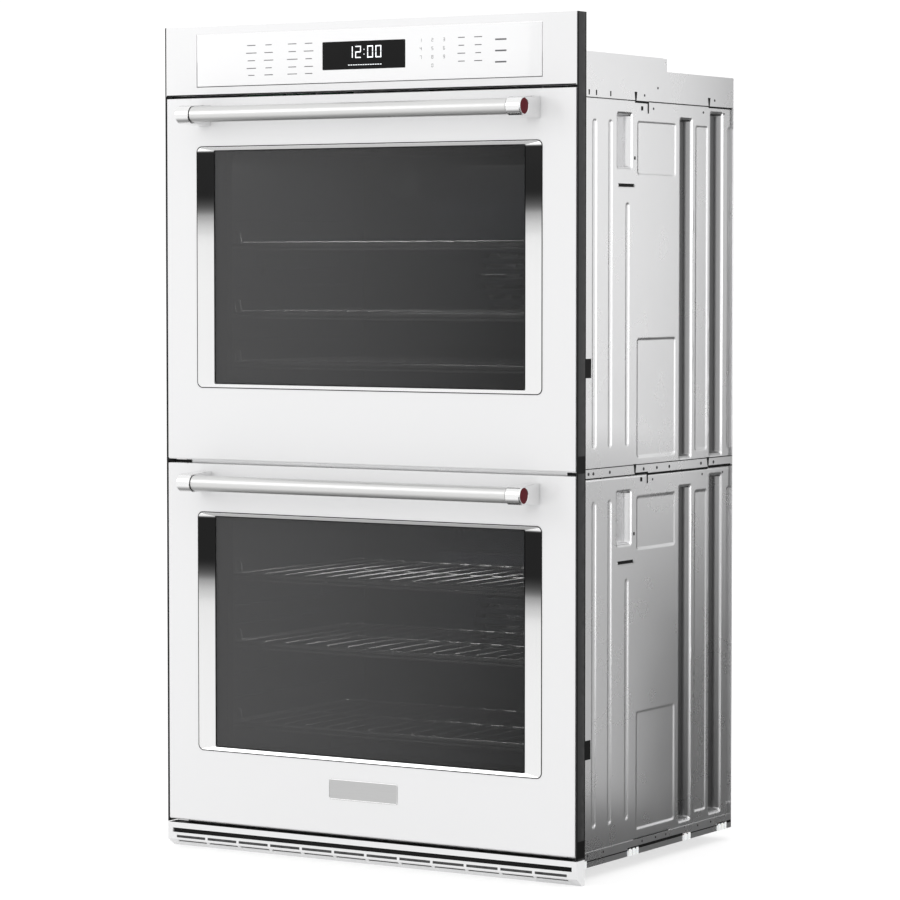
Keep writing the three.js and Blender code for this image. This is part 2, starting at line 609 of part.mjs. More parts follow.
// Wire rack that rests on a pair of ledges, whose top is the height given.
function rack(ledgeTop) {
  const low = ledgeTop + RACK_LIFT;
  const high = low + RACK_BAR;
  const wireLow = high - 1;
  const middleBarTop = wireLow - 0.2;
  const frame = [
    box(-RACK_HALF, -RACK_HALF + RACK_BAR, RACK_FRONT_Y, RACK_REAR_Y, low, high),
    box(RACK_HALF - RACK_BAR, RACK_HALF, RACK_FRONT_Y, RACK_REAR_Y, low, high),
    box(-RACK_HALF, RACK_HALF, RACK_FRONT_Y, RACK_FRONT_Y + RACK_BAR, low, high),
    box(-RACK_HALF, RACK_HALF, RACK_REAR_Y - RACK_BAR, RACK_REAR_Y, low, high),
    box(-RACK_HALF, RACK_HALF, RACK_MIDDLE_BAR_Y, RACK_MIDDLE_BAR_Y + RACK_BAR, low, middleBarTop),
  ];
  const wires = [];
  for (let i = -RACK_WIRES_EACH_SIDE; i <= RACK_WIRES_EACH_SIDE; i += 1) {
    const x = i * RACK_WIRE_PITCH;
    wires.push(box(x - RACK_WIRE / 2, x + RACK_WIRE / 2, RACK_FRONT_Y + 1, RACK_REAR_Y - 1,
      wireLow, wireLow + RACK_WIRE));
  }
  return join([...frame, ...wires]);
}

// Sliding door lock above the cavity; its tongue passes through slots in the flange and the liner.
function doorLatch(bay) {
  const middle = bay.doorBottom + LATCH_HEIGHT;
  const tongue = slotY(LATCH_TONGUE, LINER_REAR_Y + 2, LATCH_TONGUE.rearY, middle);
  const carriage = slotY(LATCH_CARRIAGE, LATCH_CARRIAGE.frontY, LATCH_CARRIAGE.rearY, middle);
  return join([tongue, carriage]);
}

// ---------------------------------------------------------------- doors

function doorSkin(bay) {
  const bottom = bay.doorBottom;
  const top = bottom + DOOR_HEIGHT;
  const shell = box(-DOOR_HALF, DOOR_HALF, FRONT_Y, SKIN_REAR_Y, bottom, top);
  const hollow = box(-DOOR_HALF + SHEET, DOOR_HALF - SHEET, FRONT_Y + SHEET, SKIN_REAR_Y + 1,
    bottom + SHEET, top - SHEET);
  const windowOutline = roundedRectangle(BEZEL_HALF + 0.5, bottom + BEZEL_BOTTOM - 0.5,
    bottom + BEZEL_TOP + 0.5, BEZEL_CORNER);
  const windowOpening = prismY(windowOutline, FRONT_Y - 1, FRONT_Y + SHEET + 1);
  const swingRelief = box(-DOOR_HALF - 1, DOOR_HALF + 1, SKIN_REAR_Y - 4, SKIN_REAR_Y + 1, bottom - 1, bottom + 9);
  const bottomEdge = outlineOf([[FRONT_Y - 1, bottom - 1], [FRONT_Y + 3, bottom - 1], [FRONT_Y - 1, bottom + 3]]);
  const edgeChamfer = prismX(bottomEdge, -DOOR_HALF - 1, DOOR_HALF + 1);
  const armSlots = SIDES.map((side) => box(side.sign * (ARM_X - ARM_SLOT_HALF), side.sign * (ARM_X + ARM_SLOT_HALF),
    PIVOT_Y - 7, SKIN_REAR_Y + 1, bottom - 1, bottom + SHEET + 1));
  return cut(shell, [hollow, windowOpening, swingRelief, edgeChamfer, ...armSlots]);
}

// Bright window frame: wide sloping sides, narrow sloping top and bottom.
function windowBezel(bay) {
  const bottom = bay.doorBottom + BEZEL_BOTTOM;
  const top = bay.doorBottom + BEZEL_TOP;
  const z = (bottom + top) / 2;
  const halfHeight = (top - bottom) / 2;
  const innerHalf = BEZEL_HALF - BEZEL_SIDE_WIDTH;
  const outline = roundedRectangle(BEZEL_HALF, bottom, top, BEZEL_CORNER);
  outline.holes.push(roundedRectangle(innerHalf, bottom + BEZEL_END_WIDTH, top - BEZEL_END_WIDTH, 3));
  const slope = taperedBox(
    { y: BEZEL_FRONT_Y - 0.001, x: 0, z, halfX: BEZEL_HALF - BEZEL_RIM, halfZ: halfHeight - BEZEL_RIM },
    { y: BEZEL_FRONT_Y + BEZEL_SLOPE_DEPTH, x: 0, z, halfX: innerHalf, halfZ: halfHeight - BEZEL_END_WIDTH });
  return prismY(outline, BEZEL_FRONT_Y, BEZEL_FRONT_Y + BEZEL_THICKNESS).subtract(slope);
}

function outerGlass(bay) {
  const front = BEZEL_FRONT_Y + BEZEL_THICKNESS + GAP;
  return box(-OUTER_GLASS_HALF, OUTER_GLASS_HALF, front, front + GLASS_THICKNESS,
    bay.doorBottom + BEZEL_BOTTOM + 2.5, bay.doorBottom + BEZEL_TOP - 2.5);
}

function doorLiner(bay) {
  const level = (height) => bay.doorBottom + height;
  const shell = box(-LINER_HALF, LINER_HALF, LINER_FRONT_Y, LINER_REAR_Y, level(LINER_BOTTOM), level(LINER_TOP));
  const hollow = box(-LINER_HALF + SHEET, LINER_HALF - SHEET, LINER_FRONT_Y - 1, LINER_REAR_Y - SHEET,
    level(LINER_BOTTOM + SHEET), level(LINER_TOP - SHEET));
  const windowOutline = roundedRectangle(LINER_WINDOW_HALF, level(BEZEL_BOTTOM + LINER_WINDOW_INSET),
    level(BEZEL_TOP - LINER_WINDOW_INSET), 12);
  const windowOpening = prismY(windowOutline, LINER_REAR_Y - SHEET - 1, LINER_REAR_Y + 1);
  const latchSlot = slotY(LINER_SLOT, LINER_REAR_Y - SHEET - 1, LINER_REAR_Y + 1, level(LATCH_HEIGHT));
  return cut(shell, [hollow, windowOpening, latchSlot]);
}

function innerGlass(bay) {
  const rear = LINER_REAR_Y - SHEET - GAP;
  return box(-INNER_GLASS_HALF, INNER_GLASS_HALF, rear - GLASS_THICKNESS, rear,
    bay.doorBottom + BEZEL_BOTTOM + 3, bay.doorBottom + BEZEL_TOP - 3);
}

// Clevis inside the door that carries the hinge pin.
function hingeClevis(bay, side) {
  const front = FRONT_Y + SHEET + 0.5;
  const rear = SKIN_REAR_Y - 4.5;
  const bottom = bay.doorBottom + SHEET + 0.6;
  const top = bay.doorBottom + CLEVIS_TOP;
  const x = (offset) => side.sign * (ARM_X + offset);
  const cheeks = [-1, 1].map((hand) => box(x(hand * CLEVIS_CHEEK_INNER), x(hand * CLEVIS_CHEEK_OUTER),
    front, rear, bottom, top));
  const web = box(x(-CLEVIS_CHEEK_OUTER), x(CLEVIS_CHEEK_OUTER), front, front + 1.5, bottom, top);
  const pin = rodX(2 * CLEVIS_CHEEK_OUTER, PIN_RADIUS, [x(0), PIVOT_Y, bay.doorBottom + PIVOT_HEIGHT], 12);
  return join([...cheeks, web, pin]);
}

// Fixed hinge arm: bored at the pivot, footed on the deck behind the door.
function hingeArm(bay, side) {
  const pivotZ = bay.doorBottom + PIVOT_HEIGHT;
  const x = (offset) => side.sign * (ARM_X + offset);
  const centre = [x(0), PIVOT_Y, pivotZ];
  const eye = rodX(ARM_THICKNESS, ARM_END_RADIUS, centre, 12);
  const bar = box(x(-ARM_THICKNESS / 2), x(ARM_THICKNESS / 2), PIVOT_Y, ARM_REAR_Y,
    pivotZ - ARM_HALF_HEIGHT, pivotZ + ARM_HALF_HEIGHT);
  const foot = box(x(-ARM_FOOT_HALF), x(ARM_FOOT_HALF), ARM_FOOT_FRONT_Y, ARM_REAR_Y,
    bay.panelBottom + GAP, pivotZ - 1);
  const bore = rodX(ARM_THICKNESS + 2, ARM_BORE_RADIUS, centre, 12);
  return cut(join([eye, bar, foot]), [bore]);
}

function handleBar(bay) {
  return rodX(2 * HANDLE_BAR_HALF, HANDLE_BAR_RADIUS, [0, HANDLE_Y, bay.doorBottom + HANDLE_HEIGHT], 20);
}

// End bracket: a round nose in line with the bar, flaring towards the door.
function handleBracket(bay, side) {
  const z = bay.doorBottom + HANDLE_HEIGHT;
  const foot = FRONT_Y - GAP;
  const outline = new THREE.Shape();
  outline.moveTo(foot, z - BRACKET_FOOT_HALF);
  outline.lineTo(foot, z + BRACKET_FOOT_HALF);
  outline.lineTo(foot - 4, z + BRACKET_FOOT_HALF);
  outline.lineTo(HANDLE_Y, z + BRACKET_NOSE_RADIUS);
  outline.absarc(HANDLE_Y, z, BRACKET_NOSE_RADIUS, Math.PI / 2, Math.PI * 1.5);
  outline.lineTo(foot - 4, z - BRACKET_FOOT_HALF);
  const inner = side.sign * (HANDLE_BAR_HALF + GAP);
  const outer = side.sign * HANDLE_END;
  return prismX(outline, Math.min(inner, outer), Math.max(inner, outer), 12);
}

// ---------------------------------------------------------------- electronics and cooling

// Relay board over the housing's floor: board, terminal blocks, relays and a transformer.
function powerBoard() {
  const board = box(...BOARD_EDGES, BOARD_BOTTOM, BOARD_BOTTOM + BOARD_THICKNESS);
  const blocks = BOARD_BLOCKS.map(([xa, xb, ya, yb, height]) => box(xa, xb, ya, yb,
    BOARD_BOTTOM + 1, BOARD_BOTTOM + BOARD_THICKNESS + height));
  return join([board, ...blocks]);
}

function blowerHousing() {
  const shell = box(-BLOWER_HALF, BLOWER_HALF, BLOWER_FRONT_Y, BLOWER_REAR_Y,
    BLOWER_Z - BLOWER_HALF_HEIGHT, BLOWER_Z + BLOWER_HALF_HEIGHT);
  const hollow = box(-BLOWER_HALF + SHEET, BLOWER_HALF - SHEET, BLOWER_FRONT_Y - 1, BLOWER_REAR_Y - SHEET,
    BLOWER_Z - BLOWER_HALF_HEIGHT + SHEET, BLOWER_Z + BLOWER_HALF_HEIGHT - SHEET);
  const inlets = rodX(2 * BLOWER_HALF + 10, BLOWER_INLET_RADIUS, [0, BLOWER_Y, BLOWER_Z], 12);
  return cut(shell, [hollow, inlets]);
}

// Drum of blades round a shaft, which turns about X.
function blowerWheel() {
  const blades = [];
  for (let i = 0; i < BLOWER_BLADES; i += 1) {
    const geometry = new THREE.BoxGeometry(2 * BLOWER_WHEEL_HALF + 1, 5, 1.2);
    geometry.rotateX(0.5);
    geometry.translate(0, 0, 12.5);
    geometry.rotateX((i * 2 * Math.PI) / BLOWER_BLADES);
    geometry.translate(0, BLOWER_Y, BLOWER_Z);
    blades.push(solidOf(geometry));
  }
  const discs = [-1, 0, 1].map((place) => rodX(2, 15.5, [place * BLOWER_WHEEL_HALF, BLOWER_Y, BLOWER_Z], 12));
  const shaft = rodX(2 * BLOWER_HALF + 12, 3, [0, BLOWER_Y, BLOWER_Z], 6);
  return join([shaft, ...discs, ...blades]);
}

// ---------------------------------------------------------------- assembly

addPiece('control_fascia', controlFascia(), WHITE_ENAMEL);
addPiece('touch_glass', touchGlass(), WHITE_GLASS);
addPiece('vent_trim', ventTrim(), WHITE_ENAMEL);
addPiece('top_housing', topHousing(), GALVANISED);
addPiece('mid_deck', midDeck(), GALVANISED);
addPiece('base_pan', basePan(), GALVANISED);
addPiece('back_panel', backPanel(), GALVANISED);
addPiece('rear_cover', rearCover(), GALVANISED);
addPiece('conduit_gland', conduitGland(), BLOWER_METAL);
addPiece('power_board', powerBoard(), CIRCUIT_BOARD);
addPiece('blower_housing', blowerHousing(), BLOWER_METAL);
addPiece('blower_wheel', blowerWheel(), BLOWER_METAL);

for (const side of SIDES) {
  addPiece(`side_trim_${side.name}`, sideTrim(side), DARK_TRIM);
}

for (const bay of BAYS) {
  addPiece(`${bay.name}_cavity`, cavity(bay), DARK_ENAMEL);
  addPiece(`${bay.name}_gasket`, gasket(bay), GASKET_BRAID);
  addPiece(`${bay.name}_fan_cover`, fanCover(bay), DARK_ENAMEL);
  addPiece(`${bay.name}_fan`, convectionFan(bay), BLOWER_METAL);
  addPiece(`${bay.name}_broil_element`, broilElement(bay), HEATER);
  addPiece(`${bay.name}_latch`, doorLatch(bay), BLOWER_METAL);
  for (const [position, height] of Object.entries(bay.racks)) {
    addPiece(`${bay.name}_rack_${position}`, rack(bay.doorBottom + height), RACK_PLATING);
  }
  addPiece(`${bay.name}_door_skin`, doorSkin(bay), WHITE_ENAMEL);
  addPiece(`${bay.name}_window_bezel`, windowBezel(bay), CHROME);
  addPiece(`${bay.name}_outer_glass`, outerGlass(bay), TINTED_GLASS);
  addPiece(`${bay.name}_door_liner`, doorLiner(bay), DARK_ENAMEL);
  addPiece(`${bay.name}_inner_glass`, innerGlass(bay), TINTED_GLASS);
  addPiece(`${bay.name}_handle_bar`, handleBar(bay), BRUSHED_STEEL);
  for (const side of SIDES) {
    addPiece(`${bay.name}_side_panel_${side.name}`, sidePanel(side, bay), GALVANISED);
    addPiece(`${bay.name}_hinge_arm_${side.name}`, hingeArm(bay, side), BLOWER_METAL);
    addPiece(`${bay.name}_hinge_clevis_${side.name}`, hingeClevis(bay, side), BLOWER_METAL);
    addPiece(`${bay.name}_handle_bracket_${side.name}`, handleBracket(bay, side), CHROME);
  }
}

export default oven;
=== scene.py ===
"""Looks of a built-in double wall oven, 30 inches wide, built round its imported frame.

Every length is in metres in the frame's own axes: +X to the user's right, -Y towards the user, +Z up.
"""

import math

import bmesh
import bpy
from mathutils import Matrix, Vector


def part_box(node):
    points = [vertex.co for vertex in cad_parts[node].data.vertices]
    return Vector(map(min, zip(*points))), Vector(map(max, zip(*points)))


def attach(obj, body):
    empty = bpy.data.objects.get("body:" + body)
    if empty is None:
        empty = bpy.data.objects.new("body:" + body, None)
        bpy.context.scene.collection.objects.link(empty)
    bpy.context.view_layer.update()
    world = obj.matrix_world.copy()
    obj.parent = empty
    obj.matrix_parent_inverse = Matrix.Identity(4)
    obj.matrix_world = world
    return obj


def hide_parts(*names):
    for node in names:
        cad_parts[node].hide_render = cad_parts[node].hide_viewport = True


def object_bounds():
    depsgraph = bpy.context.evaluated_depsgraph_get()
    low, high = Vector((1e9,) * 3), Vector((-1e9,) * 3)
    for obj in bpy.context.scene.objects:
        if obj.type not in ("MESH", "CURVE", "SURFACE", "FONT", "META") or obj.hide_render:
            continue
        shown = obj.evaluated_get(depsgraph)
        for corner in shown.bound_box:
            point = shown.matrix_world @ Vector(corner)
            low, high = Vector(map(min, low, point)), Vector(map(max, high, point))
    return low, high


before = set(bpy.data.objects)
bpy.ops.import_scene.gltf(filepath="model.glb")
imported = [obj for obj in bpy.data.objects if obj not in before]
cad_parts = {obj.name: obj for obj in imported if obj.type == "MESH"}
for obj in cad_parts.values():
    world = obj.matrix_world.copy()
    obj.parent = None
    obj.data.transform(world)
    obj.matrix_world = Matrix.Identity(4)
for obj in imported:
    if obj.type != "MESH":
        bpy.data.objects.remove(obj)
CAD_LOW, CAD_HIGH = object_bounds()

MM = 0.001
BAYS = ("upper", "lower")
SIDES = (("left", -1), ("right", 1))

# ---------------------------------------------------------------- places read from the frame

FACE_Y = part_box("control_fascia")[0].y
BODY_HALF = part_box("base_pan")[1].x
BODY_FRONT_Y, BODY_REAR_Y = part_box("base_pan")[0].y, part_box("base_pan")[1].y
TRIM_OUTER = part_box("side_trim_right")[1].x
DOOR_BOTTOM = {bay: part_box(f"{bay}_door_skin")[0].z for bay in BAYS}
DOOR_TOP = {bay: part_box(f"{bay}_door_skin")[1].z for bay in BAYS}


# ---------------------------------------------------------------- node groups

def new_group(name, inputs, outputs):
    """An empty shader group: inputs are (name, kind, default), outputs are (name, kind)."""
    group = bpy.data.node_groups.new(name, "ShaderNodeTree")
    kinds = {"value": "NodeSocketFloat", "colour": "NodeSocketColor", "vector": "NodeSocketVector"}
    for title, kind, default in inputs:
        socket = group.interface.new_socket(name=title, in_out="INPUT", socket_type=kinds[kind])
        socket.default_value = default
    for title, kind in outputs:
        group.interface.new_socket(name=title, in_out="OUTPUT", socket_type=kinds[kind])
    return group, group.nodes.new("NodeGroupInput"), group.nodes.new("NodeGroupOutput")


def math_node(nodes, links, operation, first, second, third=None, clamp=False):
    """A Math node fed by sockets or plain numbers; gives its output socket."""
    node = nodes.new("ShaderNodeMath")
    node.operation = operation
    node.use_clamp = clamp
    for socket, value in zip(node.inputs, (first, second, third)):
        if value is None:
            continue
        if isinstance(value, (int, float)):
            socket.default_value = value
        else:
            links.new(value, socket)
    return node.outputs[0]


def stretched_noise(nodes, links, scale_socket, detail, roughness=0.5):
    """Noise on the object's own coordinates, stretched by a scale vector; gives its value socket."""
    place = nodes.new("ShaderNodeTexCoord")
    stretch = nodes.new("ShaderNodeVectorMath")
    stretch.operation = "MULTIPLY"
    links.new(place.outputs["Object"], stretch.inputs[0])
    links.new(scale_socket, stretch.inputs[1])
    noise = nodes.new("ShaderNodeTexNoise")
    noise.inputs["Scale"].default_value = 1.0
    noise.inputs["Detail"].default_value = detail
    noise.inputs["Roughness"].default_value = roughness
    links.new(stretch.outputs[0], noise.inputs["Vector"])
    return noise.outputs["Fac"]


def make_grain_group():
    """Fine lines along one axis, as brushing, rolling or drawing leaves them."""
    group, given, result = new_group(
        "metal_grain",
        [("Scale", "vector", (20.0, 900.0, 900.0)), ("Low", "value", 0.9), ("High", "value", 1.0)],
        [("Tone", "value"), ("Height", "value")])
    nodes, links = group.nodes, group.links
    lines = stretched_noise(nodes, links, given.outputs["Scale"], 3.0, 0.7)
    spread = math_node(nodes, links, "SUBTRACT", given.outputs["High"], given.outputs["Low"])
    tone = math_node(nodes, links, "MULTIPLY_ADD", lines, spread, given.outputs["Low"])
    links.new(tone, result.inputs["Tone"])
    links.new(lines, result.inputs["Height"])
    return group


def make_cloud_group():
    """Slow patchy change over a surface, between two values."""
    group, given, result = new_group(
        "slow_clouds",
        [("Scale", "vector", (4.0, 4.0, 4.0)), ("Low", "value", 0.95), ("High", "value", 1.0)],
        [("Value", "value")])
    nodes, links = group.nodes, group.links
    patches = stretched_noise(nodes, links, given.outputs["Scale"], 4.0)
    spread = math_node(nodes, links, "SUBTRACT", given.outputs["High"], given.outputs["Low"])
    value = math_node(nodes, links, "MULTIPLY_ADD", patches, spread, given.outputs["Low"])
    links.new(value, result.inputs["Value"])
    return group


def make_edge_group():
    """Mask of sharp edges, worn or thin-coated and given a painted highlight, broken up so that it isn't an
    even line.
    """
    group, given, result = new_group(
        "worn_and_highlit_edges",
        [("Start", "value", 0.53), ("End", "value", 0.6), ("Break Up", "value", 90.0)],
        [("Mask", "value")])
    nodes, links = group.nodes, group.links
    shape = nodes.new("ShaderNodeNewGeometry")
    ramp = nodes.new("ShaderNodeMapRange")
    links.new(shape.outputs["Pointiness"], ramp.inputs["Value"])
    links.new(given.outputs["Start"], ramp.inputs["From Min"])
    links.new(given.outputs["End"], ramp.inputs["From Max"])
    stretch = nodes.new("ShaderNodeCombineXYZ")
    for axis in range(3):
        links.new(given.outputs["Break Up"], stretch.inputs[axis])
    patches = stretched_noise(nodes, links, stretch.outputs[0], 2.0)
    broken = math_node(nodes, links, "MULTIPLY_ADD", patches, 3.0, -0.9, clamp=True)
    mask = math_node(nodes, links, "MULTIPLY", ramp.outputs["Result"], broken, clamp=True)
    links.new(mask, result.inputs["Mask"])
    return group


def make_speck_group():
    """Scattered small specks, as fired enamel or cast metal shows."""
    group, given, result = new_group(
        "small_specks",
        [("Scale", "value", 300.0), ("Size", "value", 0.16)],
        [("Mask", "value")])
    nodes, links = group.nodes, group.links
    place = nodes.new("ShaderNodeTexCoord")
    cells = nodes.new("ShaderNodeTexVoronoi")
    cells.inputs["Randomness"].default_value = 1.0
    links.new(place.outputs["Object"], cells.inputs["Vector"])
    links.new(given.outputs["Scale"], cells.inputs["Scale"])
    mask = math_node(nodes, links, "LESS_THAN", cells.outputs["Distance"], given.outputs["Size"])
    links.new(mask, result.inputs["Mask"])
    return group


def make_spangle_group():
    """Zinc crystals: flat facets, each of its own tone."""
    group, given, result = new_group(
        "zinc_spangle",
        [("Scale", "value", 60.0), ("Low", "value", 0.9), ("High", "value", 1.0)],
        [("Tone", "value")])
    nodes, links = group.nodes, group.links
    place = nodes.new("ShaderNodeTexCoord")
    crystals = nodes.new("ShaderNodeTexVoronoi")
    links.new(place.outputs["Object"], crystals.inputs["Vector"])
    links.new(given.outputs["Scale"], crystals.inputs["Scale"])
    split = nodes.new("ShaderNodeSeparateColor")
    links.new(crystals.outputs["Color"], split.inputs["Color"])
    spread = math_node(nodes, links, "SUBTRACT", given.outputs["High"], given.outputs["Low"])
    tone = math_node(nodes, links, "MULTIPLY_ADD", split.outputs[0], spread, given.outputs["Low"])
    links.new(tone, result.inputs["Tone"])
    return group


GRAIN = make_grain_group()
CLOUDS = make_cloud_group()
EDGES = make_edge_group()
SPECKS = make_speck_group()
SPANGLE = make_spangle_group()


# ---------------------------------------------------------------- materials

class Finish:
    """One material under construction: its node tree and its Principled shader."""

    def __init__(self, name, colour, roughness, metallic=0.0, **constants):
        self.material = bpy.data.materials.new(name)
        self.material.use_nodes = True
        self.nodes = self.material.node_tree.nodes
        self.links = self.material.node_tree.links
        self.shader = self.nodes["Principled BSDF"]
        self.shader.inputs["Base Color"].default_value = (*colour, 1.0)
        self.shader.inputs["Roughness"].default_value = roughness
        self.shader.inputs["Metallic"].default_value = metallic
        for title, value in constants.items():
            self.shader.inputs[title.replace("_", " ")].default_value = value
        self.colour = (*colour, 1.0)

    def place(self, group, **values):
        node = self.nodes.new("ShaderNodeGroup")
        node.node_tree = group
        for title, value in values.items():
            node.inputs[title.replace("_", " ")].default_value = value
        return node

    def shade(self, tone):
        """Multiplies the colour so far by a value socket."""
        mix = self.nodes.new("ShaderNodeMix")
        mix.data_type = "RGBA"
        mix.blend_type = "MULTIPLY"
        mix.inputs[0].default_value = 1.0
        self._colour_into(mix.inputs[6])
        self.links.new(tone, mix.inputs[7])
        self.links.new(mix.outputs[2], self.shader.inputs["Base Color"])

    def patch(self, mask, colour):
        """Lays another colour over the colour so far where the mask is 1."""
        mix = self.nodes.new("ShaderNodeMix")
        mix.data_type = "RGBA"
        self._colour_into(mix.inputs[6])
        mix.inputs[7].default_value = (*colour, 1.0)
        self.links.new(mask, mix.inputs[0])
        self.links.new(mix.outputs[2], self.shader.inputs["Base Color"])

    def _colour_into(self, socket):
        so_far = self.shader.inputs["Base Color"].links
        if so_far:
            self.links.new(so_far[0].from_socket, socket)
        else:
            socket.default_value = self.colour

    def along(self, axis, stops):
        """A value that changes along the piece's own box from 0 to 1; stops are (place, value)."""
        place = self.nodes.new("ShaderNodeTexCoord")
        split = self.nodes.new("ShaderNodeSeparateXYZ")
        self.links.new(place.outputs["Generated"], split.inputs[0])
        curve = self.nodes.new("ShaderNodeFloatCurve")
        points = curve.mapping.curves[0].points
        while len(points) < len(stops):
            points.new(0.5, 0.5)
        for point, stop in zip(points, stops):
            point.location = stop
            point.handle_type = "AUTO_CLAMPED"
        curve.mapping.update()
        self.links.new(split.outputs[axis], curve.inputs["Value"])
        return curve.outputs["Value"]

    def roughen(self, value):
        self.links.new(value, self.shader.inputs["Roughness"])

    def bump(self, height, distance, strength=1.0):
        node = self.nodes.new("ShaderNodeBump")
        node.inputs["Distance"].default_value = distance
        node.inputs["Strength"].default_value = strength
        self.links.new(height, node.inputs["Height"])
        self.links.new(node.outputs["Normal"], self.shader.inputs["Normal"])


def clouded(finish, scale, low, high):
    node = finish.place(CLOUDS, Low=low, High=high)
    node.inputs["Scale"].default_value = (scale, scale, scale)
    return node.outputs["Value"]


def white_enamel():
    finish = Finish("white_enamel", (0.76, 0.76, 0.765), 0.3, Coat_Weight=0.4, Coat_Roughness=0.08)
    finish.shade(clouded(finish, 2.5, 0.985, 1.0))
    finish.roughen(clouded(finish, 9.0, 0.26, 0.34))
    finish.bump(clouded(finish, 700.0, 0.0, 1.0), 0.00002)
    return finish.material


def white_glass():
    finish = Finish("white_touch_glass", (0.78, 0.78, 0.785), 0.08, Coat_Weight=0.6, Coat_Roughness=0.02)
    finish.shade(clouded(finish, 3.0, 0.985, 1.0))
    finish.roughen(clouded(finish, 14.0, 0.06, 0.12))
    return finish.material


def bezel_chrome():
    """Bright frame metal whose sides carry a painted dark reflection over their upper quarter, below a bright
    top strip.
    """
    finish = Finish("window_frame_metal", (0.84, 0.84, 0.84), 0.16, metallic=1.0)
    # Painted reflection: the sides' colour darkens over their upper quarter; the top strip is left bright.
    painted_dark_reflection = [(0.0, 1.0), (0.58, 0.92), (0.65, 0.72), (0.71, 0.4), (0.765, 0.06), (0.81, 0.02)]
    top_strip = [(0.978, 0.02), (0.986, 1.0), (1.0, 1.0)]
    finish.shade(finish.along("Z", painted_dark_reflection + top_strip))
    grain = finish.place(GRAIN, Scale=(300.0, 900.0, 12.0), Low=0.96, High=1.0)
    finish.shade(grain.outputs["Tone"])
    finish.roughen(clouded(finish, 30.0, 0.12, 0.22))
    return finish.material


def polished_chrome():
    finish = Finish("polished_bracket_metal", (0.86, 0.86, 0.86), 0.1, metallic=1.0)
    finish.shade(clouded(finish, 60.0, 0.95, 1.0))
    finish.roughen(clouded(finish, 120.0, 0.07, 0.16))
    return finish.material


def brushed_bar():
    finish = Finish("brushed_bar_metal", (0.7, 0.7, 0.695), 0.38, metallic=0.85, Anisotropic=0.3)
    grain = finish.place(GRAIN, Scale=(14.0, 1500.0, 1500.0), Low=0.93, High=1.0)
    finish.shade(grain.outputs["Tone"])
    finish.roughen(clouded(finish, 40.0, 0.34, 0.42))
    finish.bump(grain.outputs["Height"], 0.00001)
    return finish.material


def tinted_glass():
    """Dark glass with a painted reflection: lighter on its left side, darker towards its right side."""
    finish = Finish("tinted_door_glass", (0.075, 0.075, 0.076), 0.03, Coat_Weight=0.15, Coat_Roughness=0.02,
                    Alpha=0.6, Specular_IOR_Level=0.25)
    # Painted reflection: the colour grades from lighter at the left to darker at the right.
    finish.shade(finish.along("X", [(0.0, 1.0), (0.45, 0.7), (1.0, 0.1)]))
    finish.shade(clouded(finish, 1.5, 0.9, 1.0))
    finish.roughen(clouded(finish, 6.0, 0.02, 0.05))
    return finish.material


def clear_glass():
    finish = Finish("clear_oven_glass", (0.5, 0.55, 0.54), 0.03, Alpha=0.12)
    finish.roughen(clouded(finish, 6.0, 0.02, 0.06))
    return finish.material


# Painted shade of a right-hand pressed panel, from dark on the floor of its channels out to its face.
CHANNEL_PAINTED_SHADE = [(0.0, 0.38), (0.7, 0.42), (0.86, 1.0), (1.0, 1.0)]


def galvanised(name="galvanised_sheet", recess_shade_stops=None):
    """Spangled zinc sheet; a pressed panel also gets painted shade towards the floor of its long channels, in
    its rear half only.
    """
    finish = Finish(name, (0.79, 0.79, 0.795), 0.28, metallic=0.96)
    if recess_shade_stops:
        # Painted shade: darker towards the channels' floors, left off over the front half where the pocket
        # lies.
        front_half = finish.along("Y", [(0.0, 1.0), (0.45, 1.0), (0.55, 0.0), (1.0, 0.0)])
        depth = finish.along("X", recess_shade_stops)
        finish.shade(math_node(finish.nodes, finish.links, "MAXIMUM", front_half, depth))
    spangle = finish.place(SPANGLE, Scale=110.0, Low=0.995, High=1.0)
    finish.shade(spangle.outputs["Tone"])
    finish.shade(clouded(finish, 3.0, 0.97, 1.0))
    finish.roughen(clouded(finish, 12.0, 0.25, 0.31))
    return finish.material


def dark_trim():
    finish = Finish("dark_trim_paint", (0.02, 0.02, 0.0205), 0.5, Specular_IOR_Level=0.3)
    finish.shade(clouded(finish, 12.0, 0.9, 1.0))
    wear_and_highlight = finish.place(EDGES, Start=0.58, End=0.75)
    # Lighter sharp edges: edge wear and a painted highlight.
    finish.patch(wear_and_highlight.outputs["Mask"], (0.08, 0.08, 0.08))
    finish.bump(clouded(finish, 900.0, 0.0, 1.0), 0.00002)
    return finish.material


def black_plastic():
    finish = Finish("black_moulding", (0.004, 0.004, 0.004), 0.6, Specular_IOR_Level=0.15)
    finish.shade(clouded(finish, 60.0, 0.7, 1.0))
    finish.bump(clouded(finish, 1200.0, 0.0, 1.0), 0.00003)
    return finish.material


def oven_enamel():
    finish = Finish("oven_enamel", (0.03, 0.033, 0.042), 0.28, Coat_Weight=0.4, Coat_Roughness=0.1)
    specks = finish.place(SPECKS, Scale=420.0, Size=0.2)
    finish.patch(specks.outputs["Mask"], (0.16, 0.17, 0.19))
    finish.roughen(clouded(finish, 18.0, 0.22, 0.4))
    return finish.material


def rack_plating():
    finish = Finish("rack_plating", (0.8, 0.8, 0.79), 0.22, metallic=1.0)
    finish.shade(clouded(finish, 50.0, 0.82, 1.0))
    finish.roughen(clouded(finish, 90.0, 0.18, 0.32))
    return finish.material


def gasket_braid():
    finish = Finish("gasket_braid", (0.09, 0.087, 0.08), 0.9)
    grain = finish.place(GRAIN, Scale=(700.0, 700.0, 700.0), Low=0.6, High=1.0)
    finish.shade(grain.outputs["Tone"])
    finish.bump(grain.outputs["Height"], 0.0004)
    return finish.material


